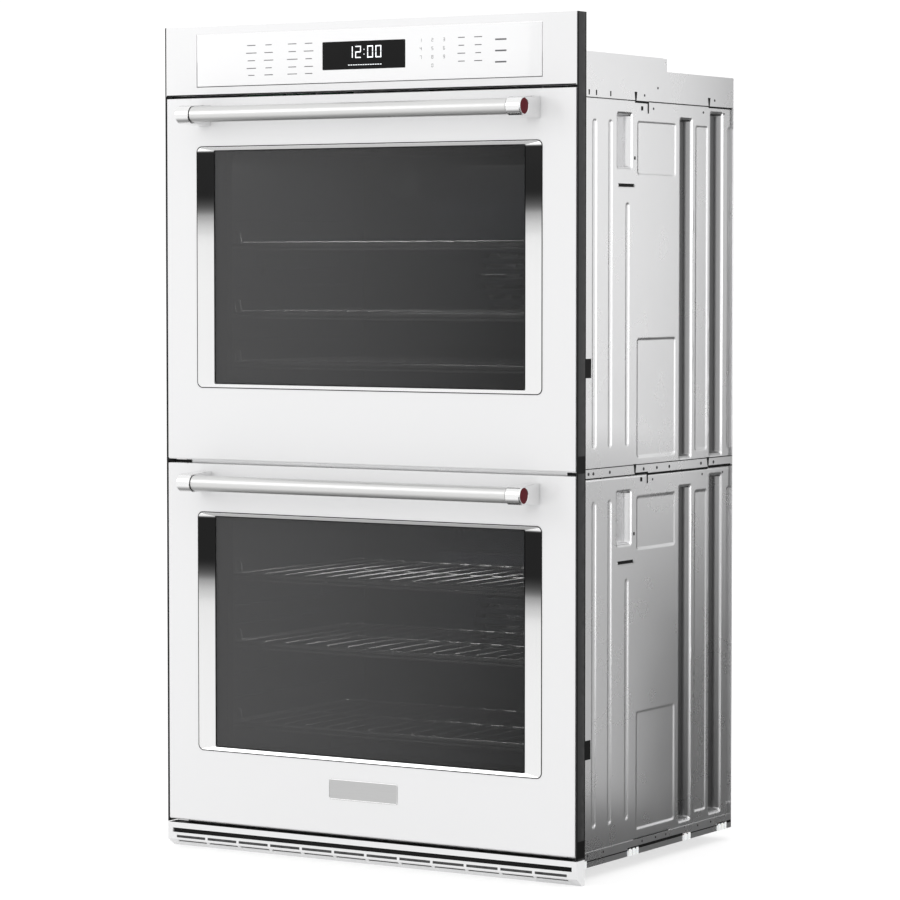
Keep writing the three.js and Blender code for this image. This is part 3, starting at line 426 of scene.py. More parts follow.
def heater_sheath():
    finish = Finish("heater_sheath", (0.055, 0.05, 0.045), 0.6, metallic=0.6)
    specks = finish.place(SPECKS, Scale=900.0, Size=0.22)
    finish.patch(specks.outputs["Mask"], (0.14, 0.13, 0.12))
    finish.roughen(clouded(finish, 80.0, 0.5, 0.75))
    return finish.material


def circuit_board():
    finish = Finish("circuit_board", (0.04, 0.16, 0.08), 0.4)
    finish.shade(clouded(finish, 90.0, 0.7, 1.0))
    specks = finish.place(SPECKS, Scale=260.0, Size=0.14)
    finish.patch(specks.outputs["Mask"], (0.7, 0.68, 0.55))
    return finish.material


def plain_steel():
    finish = Finish("plain_steel", (0.66, 0.67, 0.68), 0.34, metallic=1.0)
    grain = finish.place(GRAIN, Scale=(200.0, 60.0, 500.0), Low=0.88, High=1.0)
    finish.shade(grain.outputs["Tone"])
    wear_and_highlight = finish.place(EDGES, Start=0.52, End=0.62)
    # Lighter sharp edges: edge wear and a painted highlight.
    finish.patch(wear_and_highlight.outputs["Mask"], (0.9, 0.9, 0.9))
    finish.roughen(clouded(finish, 60.0, 0.28, 0.42))
    return finish.material


def white_plastic():
    finish = Finish("white_glide_plastic", (0.85, 0.85, 0.84), 0.4, Subsurface_Weight=0.05)
    finish.shade(clouded(finish, 80.0, 0.94, 1.0))
    finish.roughen(clouded(finish, 150.0, 0.35, 0.5))
    return finish.material


def red_enamel():
    finish = Finish("red_end_cap_enamel", (0.085, 0.002, 0.007), 0.45, Specular_IOR_Level=0.1)
    finish.shade(clouded(finish, 200.0, 0.85, 1.0))
    return finish.material


def black_display():
    finish = Finish("black_display_glass", (0.003, 0.003, 0.003), 0.3, Specular_IOR_Level=0.1)
    finish.roughen(clouded(finish, 30.0, 0.25, 0.35))
    return finish.material


def lit_digit():
    finish = Finish("lit_display_digit", (0.9, 0.9, 0.9), 0.5, Emission_Strength=0.8)
    finish.shader.inputs["Emission Color"].default_value = (0.9, 0.95, 1.0, 1.0)
    finish.shade(clouded(finish, 300.0, 0.9, 1.0))
    return finish.material


def grey_print():
    finish = Finish("grey_printed_mark", (0.12, 0.12, 0.125), 0.5)
    finish.shade(clouded(finish, 200.0, 0.85, 1.0))
    return finish.material


def blackened_screw():
    finish = Finish("blackened_screw", (0.06, 0.06, 0.062), 0.5, metallic=0.5)
    finish.shade(clouded(finish, 400.0, 0.7, 1.0))
    return finish.material


def badge_metal():
    finish = Finish("badge_metal", (0.55, 0.55, 0.55), 0.35, metallic=0.9)
    grain = finish.place(GRAIN, Scale=(30.0, 900.0, 1800.0), Low=0.85, High=1.0)
    finish.shade(grain.outputs["Tone"])
    return finish.material


MATERIALS = {
    "white_enamel": white_enamel(),
    "white_glass": white_glass(),
    "bezel_chrome": bezel_chrome(),
    "chrome": polished_chrome(),
    "brushed_steel": brushed_bar(),
    "tinted_glass": tinted_glass(),
    "clear_glass": clear_glass(),
    "galvanised_steel": galvanised(),
    "pressed_panel_left": galvanised(
        "pressed_panel_left", [(1.0 - place, tone) for place, tone in reversed(CHANNEL_PAINTED_SHADE)]),
    "pressed_panel_right": galvanised("pressed_panel_right", CHANNEL_PAINTED_SHADE),
    "dark_trim": dark_trim(),
    "black_plastic": black_plastic(),
    "dark_enamel": oven_enamel(),
    "rack_plating": rack_plating(),
    "gasket_braid": gasket_braid(),
    "heater_sheath": heater_sheath(),
    "circuit_board": circuit_board(),
    "plain_steel": plain_steel(),
    "white_plastic": white_plastic(),
    "red_enamel": red_enamel(),
    "black_display": black_display(),
    "lit_digit": lit_digit(),
    "grey_print": grey_print(),
    "blackened_screw": blackened_screw(),
    "badge_metal": badge_metal(),
}


# ---------------------------------------------------------------- making pieces

def add_slab(mesh, low, high):
    """A box between two corners, added to a bmesh."""
    low, high = Vector(low), Vector(high)
    size = high - low
    made = bmesh.ops.create_cube(mesh, size=1.0)
    bmesh.ops.scale(mesh, vec=size, verts=made["verts"])
    bmesh.ops.translate(mesh, vec=(low + high) / 2, verts=made["verts"])
    return made["verts"]


def rounded_outline(half_width, half_height, radius, steps=6):
    """Corner-rounded rectangle about the origin, as (a, b) points going anticlockwise."""
    points = []
    corners = ((1, -1, -90), (1, 1, 0), (-1, 1, 90), (-1, -1, 180))
    for sign_a, sign_b, start in corners:
        for step in range(steps + 1):
            angle = math.radians(start + 90 * step / steps)
            points.append((sign_a * (half_width - radius) + radius * math.cos(angle),
                           sign_b * (half_height - radius) + radius * math.sin(angle)))
    return points


def add_plate_y(mesh, outline, centre, thickness):
    """A plate facing the user: an outline in X and Z about a centre point on its rear face."""
    front = [mesh.verts.new((centre[0] + a, centre[1] - thickness, centre[2] + b)) for a, b in outline]
    rear = [mesh.verts.new((centre[0] + a, centre[1], centre[2] + b)) for a, b in outline]
    mesh.faces.new(front)
    mesh.faces.new(list(reversed(rear)))
    count = len(outline)
    for i in range(count):
        mesh.faces.new((rear[i], rear[(i + 1) % count], front[(i + 1) % count], front[i]))


def add_prism_x(mesh, outline, near_x, far_x):
    """A prism along X between two places; outline is (y, z) points."""
    near = [mesh.verts.new((near_x, y, z)) for y, z in outline]
    far = [mesh.verts.new((far_x, y, z)) for y, z in outline]
    mesh.faces.new(near)
    mesh.faces.new(far)
    for i in range(len(outline)):
        after = (i + 1) % len(outline)
        mesh.faces.new((near[i], near[after], far[after], far[i]))


def add_side_slab(mesh, sign, reach, along_y, along_z):
    """A box on one side of the oven; reach is its range of distances out from the middle plane."""
    xs = sorted((sign * reach[0], sign * reach[1]))
    add_slab(mesh, (xs[0], along_y[0], along_z[0]), (xs[1], along_y[1], along_z[1]))


def add_lathe_x(mesh, profile, centre, steps=48, sign=1):
    """A turned shape about a line along X; profile is (distance along X, radius) from end to end."""
    rings = []
    for along, radius in profile:
        if radius < 1e-7:
            rings.append([mesh.verts.new((centre[0] + sign * along, centre[1], centre[2]))])
            continue
        ring = []
        for step in range(steps):
            angle = 2 * math.pi * step / steps
            ring.append(mesh.verts.new((centre[0] + sign * along, centre[1] + radius * math.cos(angle),
                                        centre[2] + radius * math.sin(angle))))
        rings.append(ring)
    for near, far in zip(rings, rings[1:]):
        for step in range(steps):
            after = (step + 1) % steps
            near_pair = (near[step % len(near)], near[after % len(near)])
            far_pair = (far[after % len(far)], far[step % len(far)])
            unique = list(dict.fromkeys(near_pair + far_pair))
            if len(unique) > 2:
                mesh.faces.new(unique)


def finish_piece(mesh, name, body, material, bevel=None, smooth_angle=40):
    """Turns a bmesh into a piece that rides on a body."""
    bmesh.ops.recalc_face_normals(mesh, faces=mesh.faces[:])
    data = bpy.data.meshes.new(name)
    mesh.to_mesh(data)
    mesh.free()
    data.polygons.foreach_set("use_smooth", [True] * len(data.polygons))
    data.set_sharp_from_angle(angle=math.radians(smooth_angle))
    piece = bpy.data.objects.new(name, data)
    bpy.context.scene.collection.objects.link(piece)
    data.materials.append(MATERIALS[material])
    if bevel:
        soften(piece, bevel)
    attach(piece, body)
    return piece


def soften(piece, width, segments=2):
    """Rounds a piece's sharp edges."""
    bevel = piece.modifiers.new("soft_edges", "BEVEL")
    bevel.width = width
    bevel.segments = segments
    bevel.limit_method = "ANGLE"
    bevel.angle_limit = math.radians(35)
    bevel.harden_normals = False


def wire_piece(name, body, routes, radius, material, closed=False):
    """Round wire along several routes of points, as one curve piece."""
    curve = bpy.data.curves.new(name, "CURVE")
    curve.dimensions = "3D"
    curve.bevel_depth = radius
    curve.bevel_resolution = 3
    curve.use_fill_caps = True
    for route in routes:
        spline = curve.splines.new("POLY")
        spline.points.add(len(route) - 1)
        for point, place in zip(spline.points, route):
            point.co = (*place, 1.0)
        spline.use_smooth = True
        spline.use_cyclic_u = closed
    piece = bpy.data.objects.new(name, curve)
    bpy.context.scene.collection.objects.link(piece)
    curve.materials.append(MATERIALS[material])
    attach(piece, body)
    return piece


def bent_route(corners, radius, steps=5):
    """A route through corner points, with each inner corner rounded by an arc-like curve."""
    route = [Vector(corners[0])]
    for before, corner, after in zip(corners, corners[1:], corners[2:]):
        before, corner, after = Vector(before), Vector(corner), Vector(after)
        reach = min(radius, (corner - before).length / 2.01, (after - corner).length / 2.01)
        start = corner + (before - corner).normalized() * reach
        end = corner + (after - corner).normalized() * reach
        for step in range(steps + 1):
            t = step / steps
            route.append(start * (1 - t) ** 2 + corner * 2 * t * (1 - t) + end * t ** 2)
    route.append(Vector(corners[-1]))
    return route


def dress_cad(node, material, bevel=None):
    """Gives a carried-over CAD node its material and softened edges."""
    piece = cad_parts[node]
    piece.data.materials.clear()
    piece.data.materials.append(MATERIALS[material])
    if bevel:
        weld = piece.modifiers.new("weld", "WELD")
        weld.merge_threshold = 0.00001
        soften(piece, bevel)


# ---------------------------------------------------------------- camera, light and floor

def make_camera():
    """Long lens, at about two thirds of the oven's height, from its front right."""
    camera = bpy.data.cameras.new("camera")
    camera.lens = 144.8
    camera.sensor_width = 36.0
    camera.clip_end = 200.0
    holder = bpy.data.objects.new("camera", camera)
    holder.location = (3.075, -5.008, 0.921)
    holder.rotation_euler = (math.radians(90 - 2.93), 0.0, math.radians(31.80))
    bpy.context.scene.collection.objects.link(holder)
    bpy.context.scene.camera = holder


def stage_slab(name, low, high, tone, glow=0.0):
    """A matt box that belongs to the studio, not to the oven."""
    mesh = bmesh.new()
    add_slab(mesh, low, high)
    data = bpy.data.meshes.new(name)
    mesh.to_mesh(data)
    mesh.free()
    slab = bpy.data.objects.new(name, data)
    bpy.context.scene.collection.objects.link(slab)
    paint = bpy.data.materials.new(name + "_paint")
    paint.use_nodes = True
    shader = paint.node_tree.nodes["Principled BSDF"]
    shader.inputs["Base Color"].default_value = (tone, tone, tone, 1.0)
    shader.inputs["Roughness"].default_value = 0.9
    shader.inputs["Specular IOR Level"].default_value = 0.0
    shader.inputs["Emission Color"].default_value = (1.0, 1.0, 1.0, 1.0)
    shader.inputs["Emission Strength"].default_value = glow
    data.materials.append(paint)
    return slab


def make_floor():
    """Pale floor that reaches past the horizon and lights itself."""
    reach = 60.0
    floor = stage_slab("studio_floor", (-reach, -reach, CAD_LOW.z - 0.02), (reach, reach, CAD_LOW.z - 0.0005),
                       0.45, glow=0.62)
    floor.visible_glossy = False


def make_reflection_cards():
    """Cards that only show in reflections: on the floor to the right, behind, and beside the front."""
    low = CAD_LOW.z - 0.0004
    floor_card = stage_slab("floor_card", (0.30, -2.5, low - 0.002), (6.0, 6.0, low), 0.02, glow=0.04)
    standing = stage_slab("standing_card", (-0.6, -0.005, 0.0), (0.6, 0.005, 0.95), 0.02, glow=0.04)
    grey = stage_slab("upper_card", (-0.6, -0.005, 0.95), (0.6, 0.005, 1.7), 0.02, glow=0.12)
    for card in (standing, grey):
        card.location = (0.31, 1.41, low)
        card.rotation_euler = (0.0, 0.0, math.radians(-28.6))
    bounce = stage_slab("front_bounce_card", (0.60, 0.35, 0.0), (1.1, 0.36, 0.62), 0.02, glow=0.56)
    for card in (floor_card, standing, grey, bounce):
        card.visible_camera = False
        card.visible_diffuse = False
        card.visible_shadow = False
        card.visible_transmission = False


def make_area_light(name, place, target, size, power):
    """A soft rectangular lamp that points at a target and can't be seen itself."""
    light = bpy.data.lights.new(name, "AREA")
    light.shape = "RECTANGLE"
    light.size, light.size_y = size
    light.energy = power
    holder = bpy.data.objects.new(name, light)
    holder.location = place
    holder.rotation_euler = (Vector(target) - Vector(place)).to_track_quat("-Z", "Y").to_euler()
    holder.visible_camera = False
    bpy.context.scene.collection.objects.link(holder)


def make_world():
    """White studio: bright all round and overhead, dark straight below."""
    world = bpy.data.worlds.new("studio")
    world.use_nodes = True
    nodes, links = world.node_tree.nodes, world.node_tree.links
    background = nodes["Background"]
    place = nodes.new("ShaderNodeTexCoord")
    split = nodes.new("ShaderNodeSeparateXYZ")
    links.new(place.outputs["Generated"], split.inputs[0])
    grade = nodes.new("ShaderNodeMapRange")
    grade.interpolation_type = "SMOOTHSTEP"
    grade.inputs["From Min"].default_value = -0.95
    grade.inputs["From Max"].default_value = -0.5
    grade.inputs["To Min"].default_value = 0.1
    grade.inputs["To Max"].default_value = 1.08
    links.new(split.outputs["Z"], grade.inputs["Value"])
    links.new(grade.outputs["Result"], background.inputs["Strength"])
    background.inputs["Color"].default_value = (1.0, 1.0, 1.0, 1.0)
    bpy.context.scene.world = world


def make_studio():
    make_camera()
    make_floor()
    make_reflection_cards()
    make_world()
    make_area_light("key", (-1.9, -2.6, 2.0), (-0.2, -0.3, 0.8), (1.5, 1.5), 10)
    make_area_light("right_softbox", (2.8, 0.75, 0.7), (0.3, 0.4, 0.7), (1.3, 1.9), 12)
    for bay in BAYS:
        ceiling = DOOR_BOTTOM[bay] + 0.48
        make_area_light(f"{bay}_inside", (0, 0.02, ceiling), (0, 0.02, 0), (0.4, 0.2), 1.2)
    bpy.context.scene.view_settings.view_transform = "Standard"


# ---------------------------------------------------------------- carried-over CAD nodes

def dress_frame():
    """Materials and edge softening, in metres, of the CAD nodes that stay as they are."""
    plain = {
        "control_fascia": ("white_enamel", 0.0006),
        "touch_glass": ("white_glass", 0.0004),
        "vent_trim": ("white_enamel", 0.0004),
        "top_housing": ("galvanised_steel", 0.0007),
        "mid_deck": ("galvanised_steel", 0.0006),
        "base_pan": ("galvanised_steel", 0.0006),
        "back_panel": ("galvanised_steel", 0.0004),
        "rear_cover": ("galvanised_steel", 0.0008),
        "conduit_gland": ("plain_steel", 0.0004),
        "power_board": ("circuit_board", None),
        "blower_housing": ("plain_steel", 0.0004),
        "blower_wheel": ("plain_steel", None),
        "side_trim_left": ("dark_trim", 0.0003),
        "side_trim_right": ("dark_trim", 0.0003),
    }
    for node, (material, bevel) in plain.items():
        dress_cad(node, material, bevel)
    in_each_bay = {
        "cavity": ("dark_enamel", 0.0006),
        "fan_cover": ("dark_enamel", 0.0006),
        "fan": ("plain_steel", None),
        "latch": ("plain_steel", 0.0005),
        "door_skin": ("white_enamel", 0.0007),
        "window_bezel": ("bezel_chrome", 0.0003),
        "outer_glass": ("tinted_glass", None),
        "door_liner": ("dark_enamel", 0.0008),
        "inner_glass": ("clear_glass", None),
        "hinge_arm_left": ("plain_steel", 0.0003),
        "hinge_arm_right": ("plain_steel", 0.0003),
        "hinge_clevis_left": ("plain_steel", 0.0003),
        "hinge_clevis_right": ("plain_steel", 0.0003),
    }
    for bay in BAYS:
        for node, (material, bevel) in in_each_bay.items():
            dress_cad(f"{bay}_{node}", material, bevel)


# ---------------------------------------------------------------- handles

def make_handle(bay):
    """Round brushed bar between two polished end brackets, each with a plain round end cap."""
    low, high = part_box(f"{bay}_handle_bar")
    axis_y, axis_z = (low.y + high.y) / 2, (low.z + high.z) / 2
    radius = (high.z - low.z) / 2
    end = high.x
    edge = 0.0008
    bar = bmesh.new()
    profile = [(-end, 0), (-end, radius - edge), (-end + edge, radius),
               (end - edge, radius), (end, radius - edge), (end, 0)]
    add_lathe_x(bar, profile, (0, axis_y, axis_z), steps=72)
    piece = finish_piece(bar, f"{bay}_bar", f"{bay}_door", "brushed_steel", smooth_angle=30)
    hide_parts(f"{bay}_handle_bar")
    for side, sign in SIDES:
        make_bracket(bay, side, sign, axis_y, axis_z)


def bracket_outline(low, high, axis_y, axis_z):
    """Outline of a bracket in Y and Z: flat foot on the door, waist, and a round nose about the bar."""
    foot_y = high.y
    foot_thickness = 4 * MM
    foot_half = (high.z - low.z) / 2
    nose = axis_y - low.y
    points = [(foot_y, foot_half), (foot_y - foot_thickness, foot_half - 0.2 * MM)]
    for step in range(1, 8):
        t = step / 8
        swell = foot_half + (nose - foot_half) * (3 * t * t - 2 * t ** 3)
        points.append((foot_y - foot_thickness + (axis_y - foot_y + foot_thickness) * t, swell))
    for step in range(17):
        angle = math.radians(90 + 180 * step / 16)
        points.append((axis_y + nose * math.cos(angle), nose * math.sin(angle)))
    lower = [(y, -z) for y, z in reversed(points[:9])]
    return [(y, axis_z + z) for y, z in points + lower]


SPIGOT_RADIUS = 12.9 * MM
CAP_RADIUS = 12.0 * MM
CAP_RIM = [(-0.4 * MM, 0.0), (-0.4 * MM, 13.6 * MM), (0.5 * MM, 13.6 * MM), (0.9 * MM, 13.2 * MM),
           (0.9 * MM, 12.4 * MM), (0.4 * MM, 12.1 * MM), (0.4 * MM, 0.0)]


def make_bracket(bay, side, sign, axis_y, axis_z):
    """One end bracket with a dark spigot for the bar inside it, and a rimmed red cap outside it."""
    low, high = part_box(f"{bay}_handle_bracket_{side}")
    inner, outer = sorted((low.x, high.x), key=abs)
    mesh = bmesh.new()
    add_prism_x(mesh, bracket_outline(low, high, axis_y, axis_z), inner, outer)
    body = f"{bay}_door"
    piece = finish_piece(mesh, f"{bay}_bracket_{side}", body, "chrome", bevel=0.0011)
    piece.modifiers["soft_edges"].segments = 4
    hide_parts(f"{bay}_handle_bracket_{side}")
    spigot = bmesh.new()
    turned = [(-0.9 * MM, 0.0), (-0.9 * MM, SPIGOT_RADIUS), (0.3 * MM, SPIGOT_RADIUS), (0.3 * MM, 0.0)]
    add_lathe_x(spigot, turned, (inner, axis_y, axis_z), sign=sign)
    finish_piece(spigot, f"{bay}_bar_spigot_{side}", body, "black_plastic", smooth_angle=30)
    rim = bmesh.new()
    add_lathe_x(rim, CAP_RIM, (outer, axis_y, axis_z), steps=64, sign=sign)
    finish_piece(rim, f"{bay}_end_cap_rim_{side}", body, "chrome", smooth_angle=30)
    cap = bmesh.new()
    dome = [(0.2 * MM, 0.0), (0.2 * MM, CAP_RADIUS)]
    for step in range(7):
        angle = math.radians(90 * step / 6)
        dome.append((0.4 * MM + 0.5 * MM * math.sin(angle), CAP_RADIUS * math.cos(angle)))
    add_lathe_x(cap, dome, (outer, axis_y, axis_z), steps=64, sign=sign)
    finish_piece(cap, f"{bay}_end_cap_{side}", body, "red_enamel", smooth_angle=60)


# ---------------------------------------------------------------- racks, elements and gaskets

RACK_WIRE_PITCH = 40 * MM
RACK_WIRES_EACH_SIDE = 7
RACK_EDGE_RADIUS = 3.0 * MM
RACK_WIRE_RADIUS = 1.8 * MM
RACK_CROSS_ROD_Y = -54 * MM
RACK_STOP_HEIGHT = 22 * MM


def make_rack(bay, position):
    """Plated rack: a bent edge rod, doubled at the front, cross rods, long wires and two upturned stops."""
    node = f"{bay}_rack_{position}"
    body = f"{bay}_{position}_rack"
    low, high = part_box(node)
    heavy, light = RACK_EDGE_RADIUS, RACK_WIRE_RADIUS
    z = low.z + heavy
    top = high.z - light
    x, front, rear = high.x - heavy, low.y + heavy, high.y - heavy
    loop = [(0, front, z), (x, front, z), (x, rear, z), (-x, rear, z), (-x, front, z), (0, front, z)]
    cross_rod = [(-x, RACK_CROSS_ROD_Y, z - 0.4 * MM), (x, RACK_CROSS_ROD_Y, z - 0.4 * MM)]
    heavy_routes = [bent_route(loop, 16 * MM), cross_rod]
    frame_piece = wire_piece(f"{node}_edge_rod", body, heavy_routes, heavy, "rack_plating")
    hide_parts(node)
    light_routes = []
    for i in range(-RACK_WIRES_EACH_SIDE, RACK_WIRES_EACH_SIDE + 1):
        wire_x = i * RACK_WIRE_PITCH
        long_wire = [(wire_x, front - 1 * MM, z - 6 * MM), (wire_x, front - 1.5 * MM, top),
                     (wire_x, rear, top)]
        light_routes.append(bent_route(long_wire, 6 * MM))
    front_z = z - 7.5 * MM
    front_wire = [(-x + 12 * MM, front - 1 * MM, front_z), (x - 12 * MM, front - 1 * MM, front_z)]
    light_routes.append(bent_route(front_wire, 4 * MM))
    for sign in (-1, 1):
        stop_x = sign * (x - 10 * MM)
        stop_top = z + RACK_STOP_HEIGHT
        upturned_stop = [
            (stop_x, front + 50 * MM, z), (stop_x, front + 14 * MM, z), (stop_x, front + 6 * MM, stop_top),
            (stop_x - sign * 12 * MM, front + 6 * MM, stop_top), (stop_x - sign * 18 * MM, front + 2 * MM, z)]
        light_routes.append(bent_route(upturned_stop, 5 * MM))
    wire_piece(f"{node}_wires", body, light_routes, light, "rack_plating")


def make_broil_element(bay):
    """Bent heater rod in mirrored loops from the rear wall, with three support clips."""
    node = f"{bay}_broil_element"
    low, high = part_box(node)
    z = (low.z + high.z) / 2
    rear = high.y
    half = [(28, None), (28, 150), (60, 118), (205, 118), (238, 86), (238, -160), (210, -188), (180, -188),
            (152, -160), (152, 40), (124, 68), (104, 68), (76, 40), (76, -160), (48, -188)]
    corners = [(x * MM, rear if y is None else y * MM, z) for x, y in half]
    corners += [(-x, y, z) for x, y, z in reversed(corners)]
    route = bent_route(corners, 26 * MM)
    piece = wire_piece(f"{node}_rod", "casing", [route], 3.5 * MM, "heater_sheath")
    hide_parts(node)
    clips = bmesh.new()
    for x, y in ((-0.2, -0.1), (0.2, -0.1), (0.0, -0.175)):
        add_slab(clips, (x - 0.055, y - 0.003, z + 0.0038), (x + 0.055, y + 0.003, z + 0.0052))
        add_slab(clips, (x - 0.004, y - 0.003, z + 0.0052), (x + 0.004, y + 0.003, z + 0.0135))
    finish_piece(clips, f"{bay}_element_clips", "casing", "plain_steel", bevel=0.0004)


def make_gasket(bay):
    """Braided seal round the oven's mouth."""
    node = f"{bay}_gasket"
    low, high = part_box(node)
    radius = (high.y - low.y) / 2
    middle = (low + high) / 2
    outline = rounded_outline(high.x - radius, (high.z - low.z) / 2 - radius, 20 * MM, steps=8)
    route = [(a, middle.y, middle.z + b) for a, b in outline]
    piece = wire_piece(f"{node}_braid", "casing", [route], radius, "gasket_braid",
                       closed=True)
    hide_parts(node)


def make_lamp(bay):
    """Two round lamp lenses on the cavity's rear wall."""
    wall_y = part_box(f"{bay}_fan_cover")[1].y
    z = DOOR_BOTTOM[bay] + 0.455
    for side, sign in SIDES:
        mesh = bmesh.new()
        profile = [(0.0, 0.0), (0.0, 30 * MM), (-3 * MM, 31 * MM), (-6 * MM, 28 * MM)]
        for step in range(1, 7):
            angle = math.radians(90 * step / 6)
            profile.append((-6 * MM - 12 * MM * math.sin(angle), 26 * MM * math.cos(angle)))
        add_lathe_x(mesh, profile, (0, 0, 0), steps=40)
        quarter_turn = Matrix.Rotation(math.radians(90), 3, "Z")
        bmesh.ops.rotate(mesh, verts=mesh.verts, cent=(0, 0, 0), matrix=quarter_turn)
        bmesh.ops.translate(mesh, verts=mesh.verts, vec=(sign * 0.235, wall_y, z))
        finish_piece(mesh, f"{bay}_lamp_lens_{side}", "casing", "clear_glass", smooth_angle=35)


# ---------------------------------------------------------------- pressed side panels

def smooth_step(value):
    """A value from 0 to 1, eased at both ends."""
    value = min(1.0, max(0.0, value))
    return value * value * (3 - 2 * value)


def inside_depth(y, z, field):
    """How far a point is inside a corner-rounded field: positive inside, negative outside."""
    (y0, y1), (z0, z1), corner = field["y"], field["z"], field["corner"]
    dy = abs(y - (y0 + y1) / 2) - (y1 - y0) / 2 + corner
    dz = abs(z - (z0 + z1) / 2) - (z1 - z0) / 2 + corner
    outside = math.hypot(max(dy, 0), max(dz, 0)) + min(max(dy, dz), 0) - corner
    return -outside


# Depths of the pressings in millimetres; a floor adds to the rolled edge that it lies in.
BEAD = -1.0
ROLLED_EDGE = -1.5
CHANNEL_FLOOR = -13.5
POCKET_FLOOR = -12.5
RIDGE = 0.6
PANEL_THICKNESS = 1.2


def panel_fields(bay, bottom, top):
    """Pressed shapes of one side panel in millimetres: shallow beads, deep channels and a pocket.

    A field has its range along Y, its range of heights over the door's bottom edge, its depth, its
    corner radius, and the width over which its edge slopes.
    """
    base = DOOR_BOTTOM[bay] / MM

    def field(y0, y1, low, high, height, corner, slope):
        heights = (max(base + low, bottom + 2), min(base + high, top - 2))
        return {"y": (y0, y1), "z": heights, "height": height, "corner": corner, "slope": slope}

    fields = [
        field(-217, -202, 31, 534, BEAD, 7.0, 4.0),
        field(-167, -154, 31, 534, BEAD, 6.0, 4.0),
        field(-113, -100, 31, 408, BEAD, 6.0, 4.0),
        field(-76, 51, 11, 198, BEAD, 6.0, 4.0),
        field(-76, 51, 450, 535, BEAD, 6.0, 4.0),
        field(116, 158, 14, 534, BEAD, 5.0, 4.0),
        field(227, 260, 14, 534, BEAD, 5.0, 3.0),
        field(62, 106, 3, 545, ROLLED_EDGE, 5.0, 4.0),
        field(66, 102, 7, 541, CHANNEL_FLOOR, 3.0, 1.2),
        field(165, 211, 3, 558, ROLLED_EDGE, 5.0, 4.0),
        field(169, 207, 7, 554, CHANNEL_FLOOR, 3.0, 1.2),
        field(-141, -91, 458, 547, ROLLED_EDGE, 5.0, 4.0),
        field(-137, -95, 462, 543, POCKET_FLOOR, 3.0, 1.2),
        field(-138, -84, 431, 436, RIDGE, 2.4, 2.0),
    ]
    for i in range(5):
        fields.append(field(105, 110.5, 60 + i * 105, 72 + i * 105, RIDGE, 2.5, 2.0))
        fields.append(field(160.5, 165, 40 + i * 82, 50 + i * 82, RIDGE, 2.0, 1.8))
    return fields


# The sheet's grid in millimetres: its own pitch, places about an edge, and the least gap kept.
GRID_PITCH = 14.0
GRID_EDGE_OFFSETS = (-3.0, -1.5, 0.0, 1.3, 2.6, 4.0, 5.5)
GRID_LEAST_GAP = 0.6
WIDE_PRESSING = 6


def grid_lines(start, end, edges):
    """Grid positions from start to end, closer together by each edge."""
    lines = {start, end}
    count = max(1, round((end - start) / GRID_PITCH))
    for i in range(count):
        lines.add(start + (end - start) * i / count)
    for edge in edges:
        for offset in GRID_EDGE_OFFSETS:
            for signed in (offset, -offset):
                if start < edge + signed < end:
                    lines.add(edge + signed)
    ordered = sorted(lines)
    kept = [ordered[0]]
    for line in ordered[1:]:
        if line - kept[-1] > GRID_LEAST_GAP:
            kept.append(line)
    kept[-1] = end
    return kept


def pressed_height(y, z, fields):
    """How far the sheet stands out from the panel's face at a place, in millimetres."""
    height = 0.0
    for field in fields:
        depth = inside_depth(y, z, field)
        if depth > 0:
            height += field["height"] * smooth_step(depth / field["slope"])
    return height


def make_side_panel(bay, side, sign):
    """One pressed side panel: a sheet on a grid that is finer beside the edges of its pressings."""
    node = f"{bay}_side_panel_{side}"
    low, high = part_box(node)
    rear_y = BODY_REAR_Y - 0.3 * MM
    y0, y1, z0, z1 = (value / MM for value in (low.y, rear_y, low.z, high.z))
    fields = panel_fields(bay, z0, z1)
    wide = [f for f in fields if f["y"][1] - f["y"][0] > WIDE_PRESSING]
    ys = grid_lines(y0, y1, [edge for f in wide for edge in f["y"]])
    zs = grid_lines(z0, z1, [edge for f in wide for edge in f["z"]])
    face = BODY_HALF / MM - 0.5
    mesh = bmesh.new()
    rows = []
    for z in zs:
        places = [(sign * (face + pressed_height(y, z, fields)) * MM, y * MM, z * MM) for y in ys]
        rows.append([mesh.verts.new(place) for place in places])
    for lower, upper in zip(rows, rows[1:]):
        for i in range(len(ys) - 1):
            mesh.faces.new((lower[i], lower[i + 1], upper[i + 1], upper[i]))
    piece = finish_piece(mesh, f"{node}_pressing", "casing", f"pressed_panel_{side}",
                         smooth_angle=75)
    outward = piece.data.polygons[0].normal.x * sign > 0
    sheet = piece.modifiers.new("sheet", "SOLIDIFY")
    sheet.thickness = PANEL_THICKNESS * MM
    sheet.offset = -1.0 if outward else 1.0
    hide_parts(node)


# ---------------------------------------------------------------- fasteners and small casing detail

def add_screw(mesh, place, axis, radius=3.6 * MM, height=1.6 * MM):
    """A pan-head screw whose head stands out along an axis, with a round dished recess in its top."""
    profile = [(0.0, 0.0), (0.0, radius), (height * 0.45, radius * 0.96), (height * 0.85, radius * 0.7),
               (height, radius * 0.42), (height * 0.55, radius * 0.3), (height * 0.5, 0.0)]
    head = bmesh.new()
    add_lathe_x(head, profile, (0, 0, 0), steps=16)
    turn = Vector((1, 0, 0)).rotation_difference(Vector(axis)).to_matrix().to_4x4()
    bmesh.ops.transform(head, matrix=Matrix.Translation(place) @ turn, verts=head.verts)
    data = bpy.data.meshes.new("screw")
    head.to_mesh(data)
    head.free()
    mesh.from_mesh(data)
    bpy.data.meshes.remove(data)


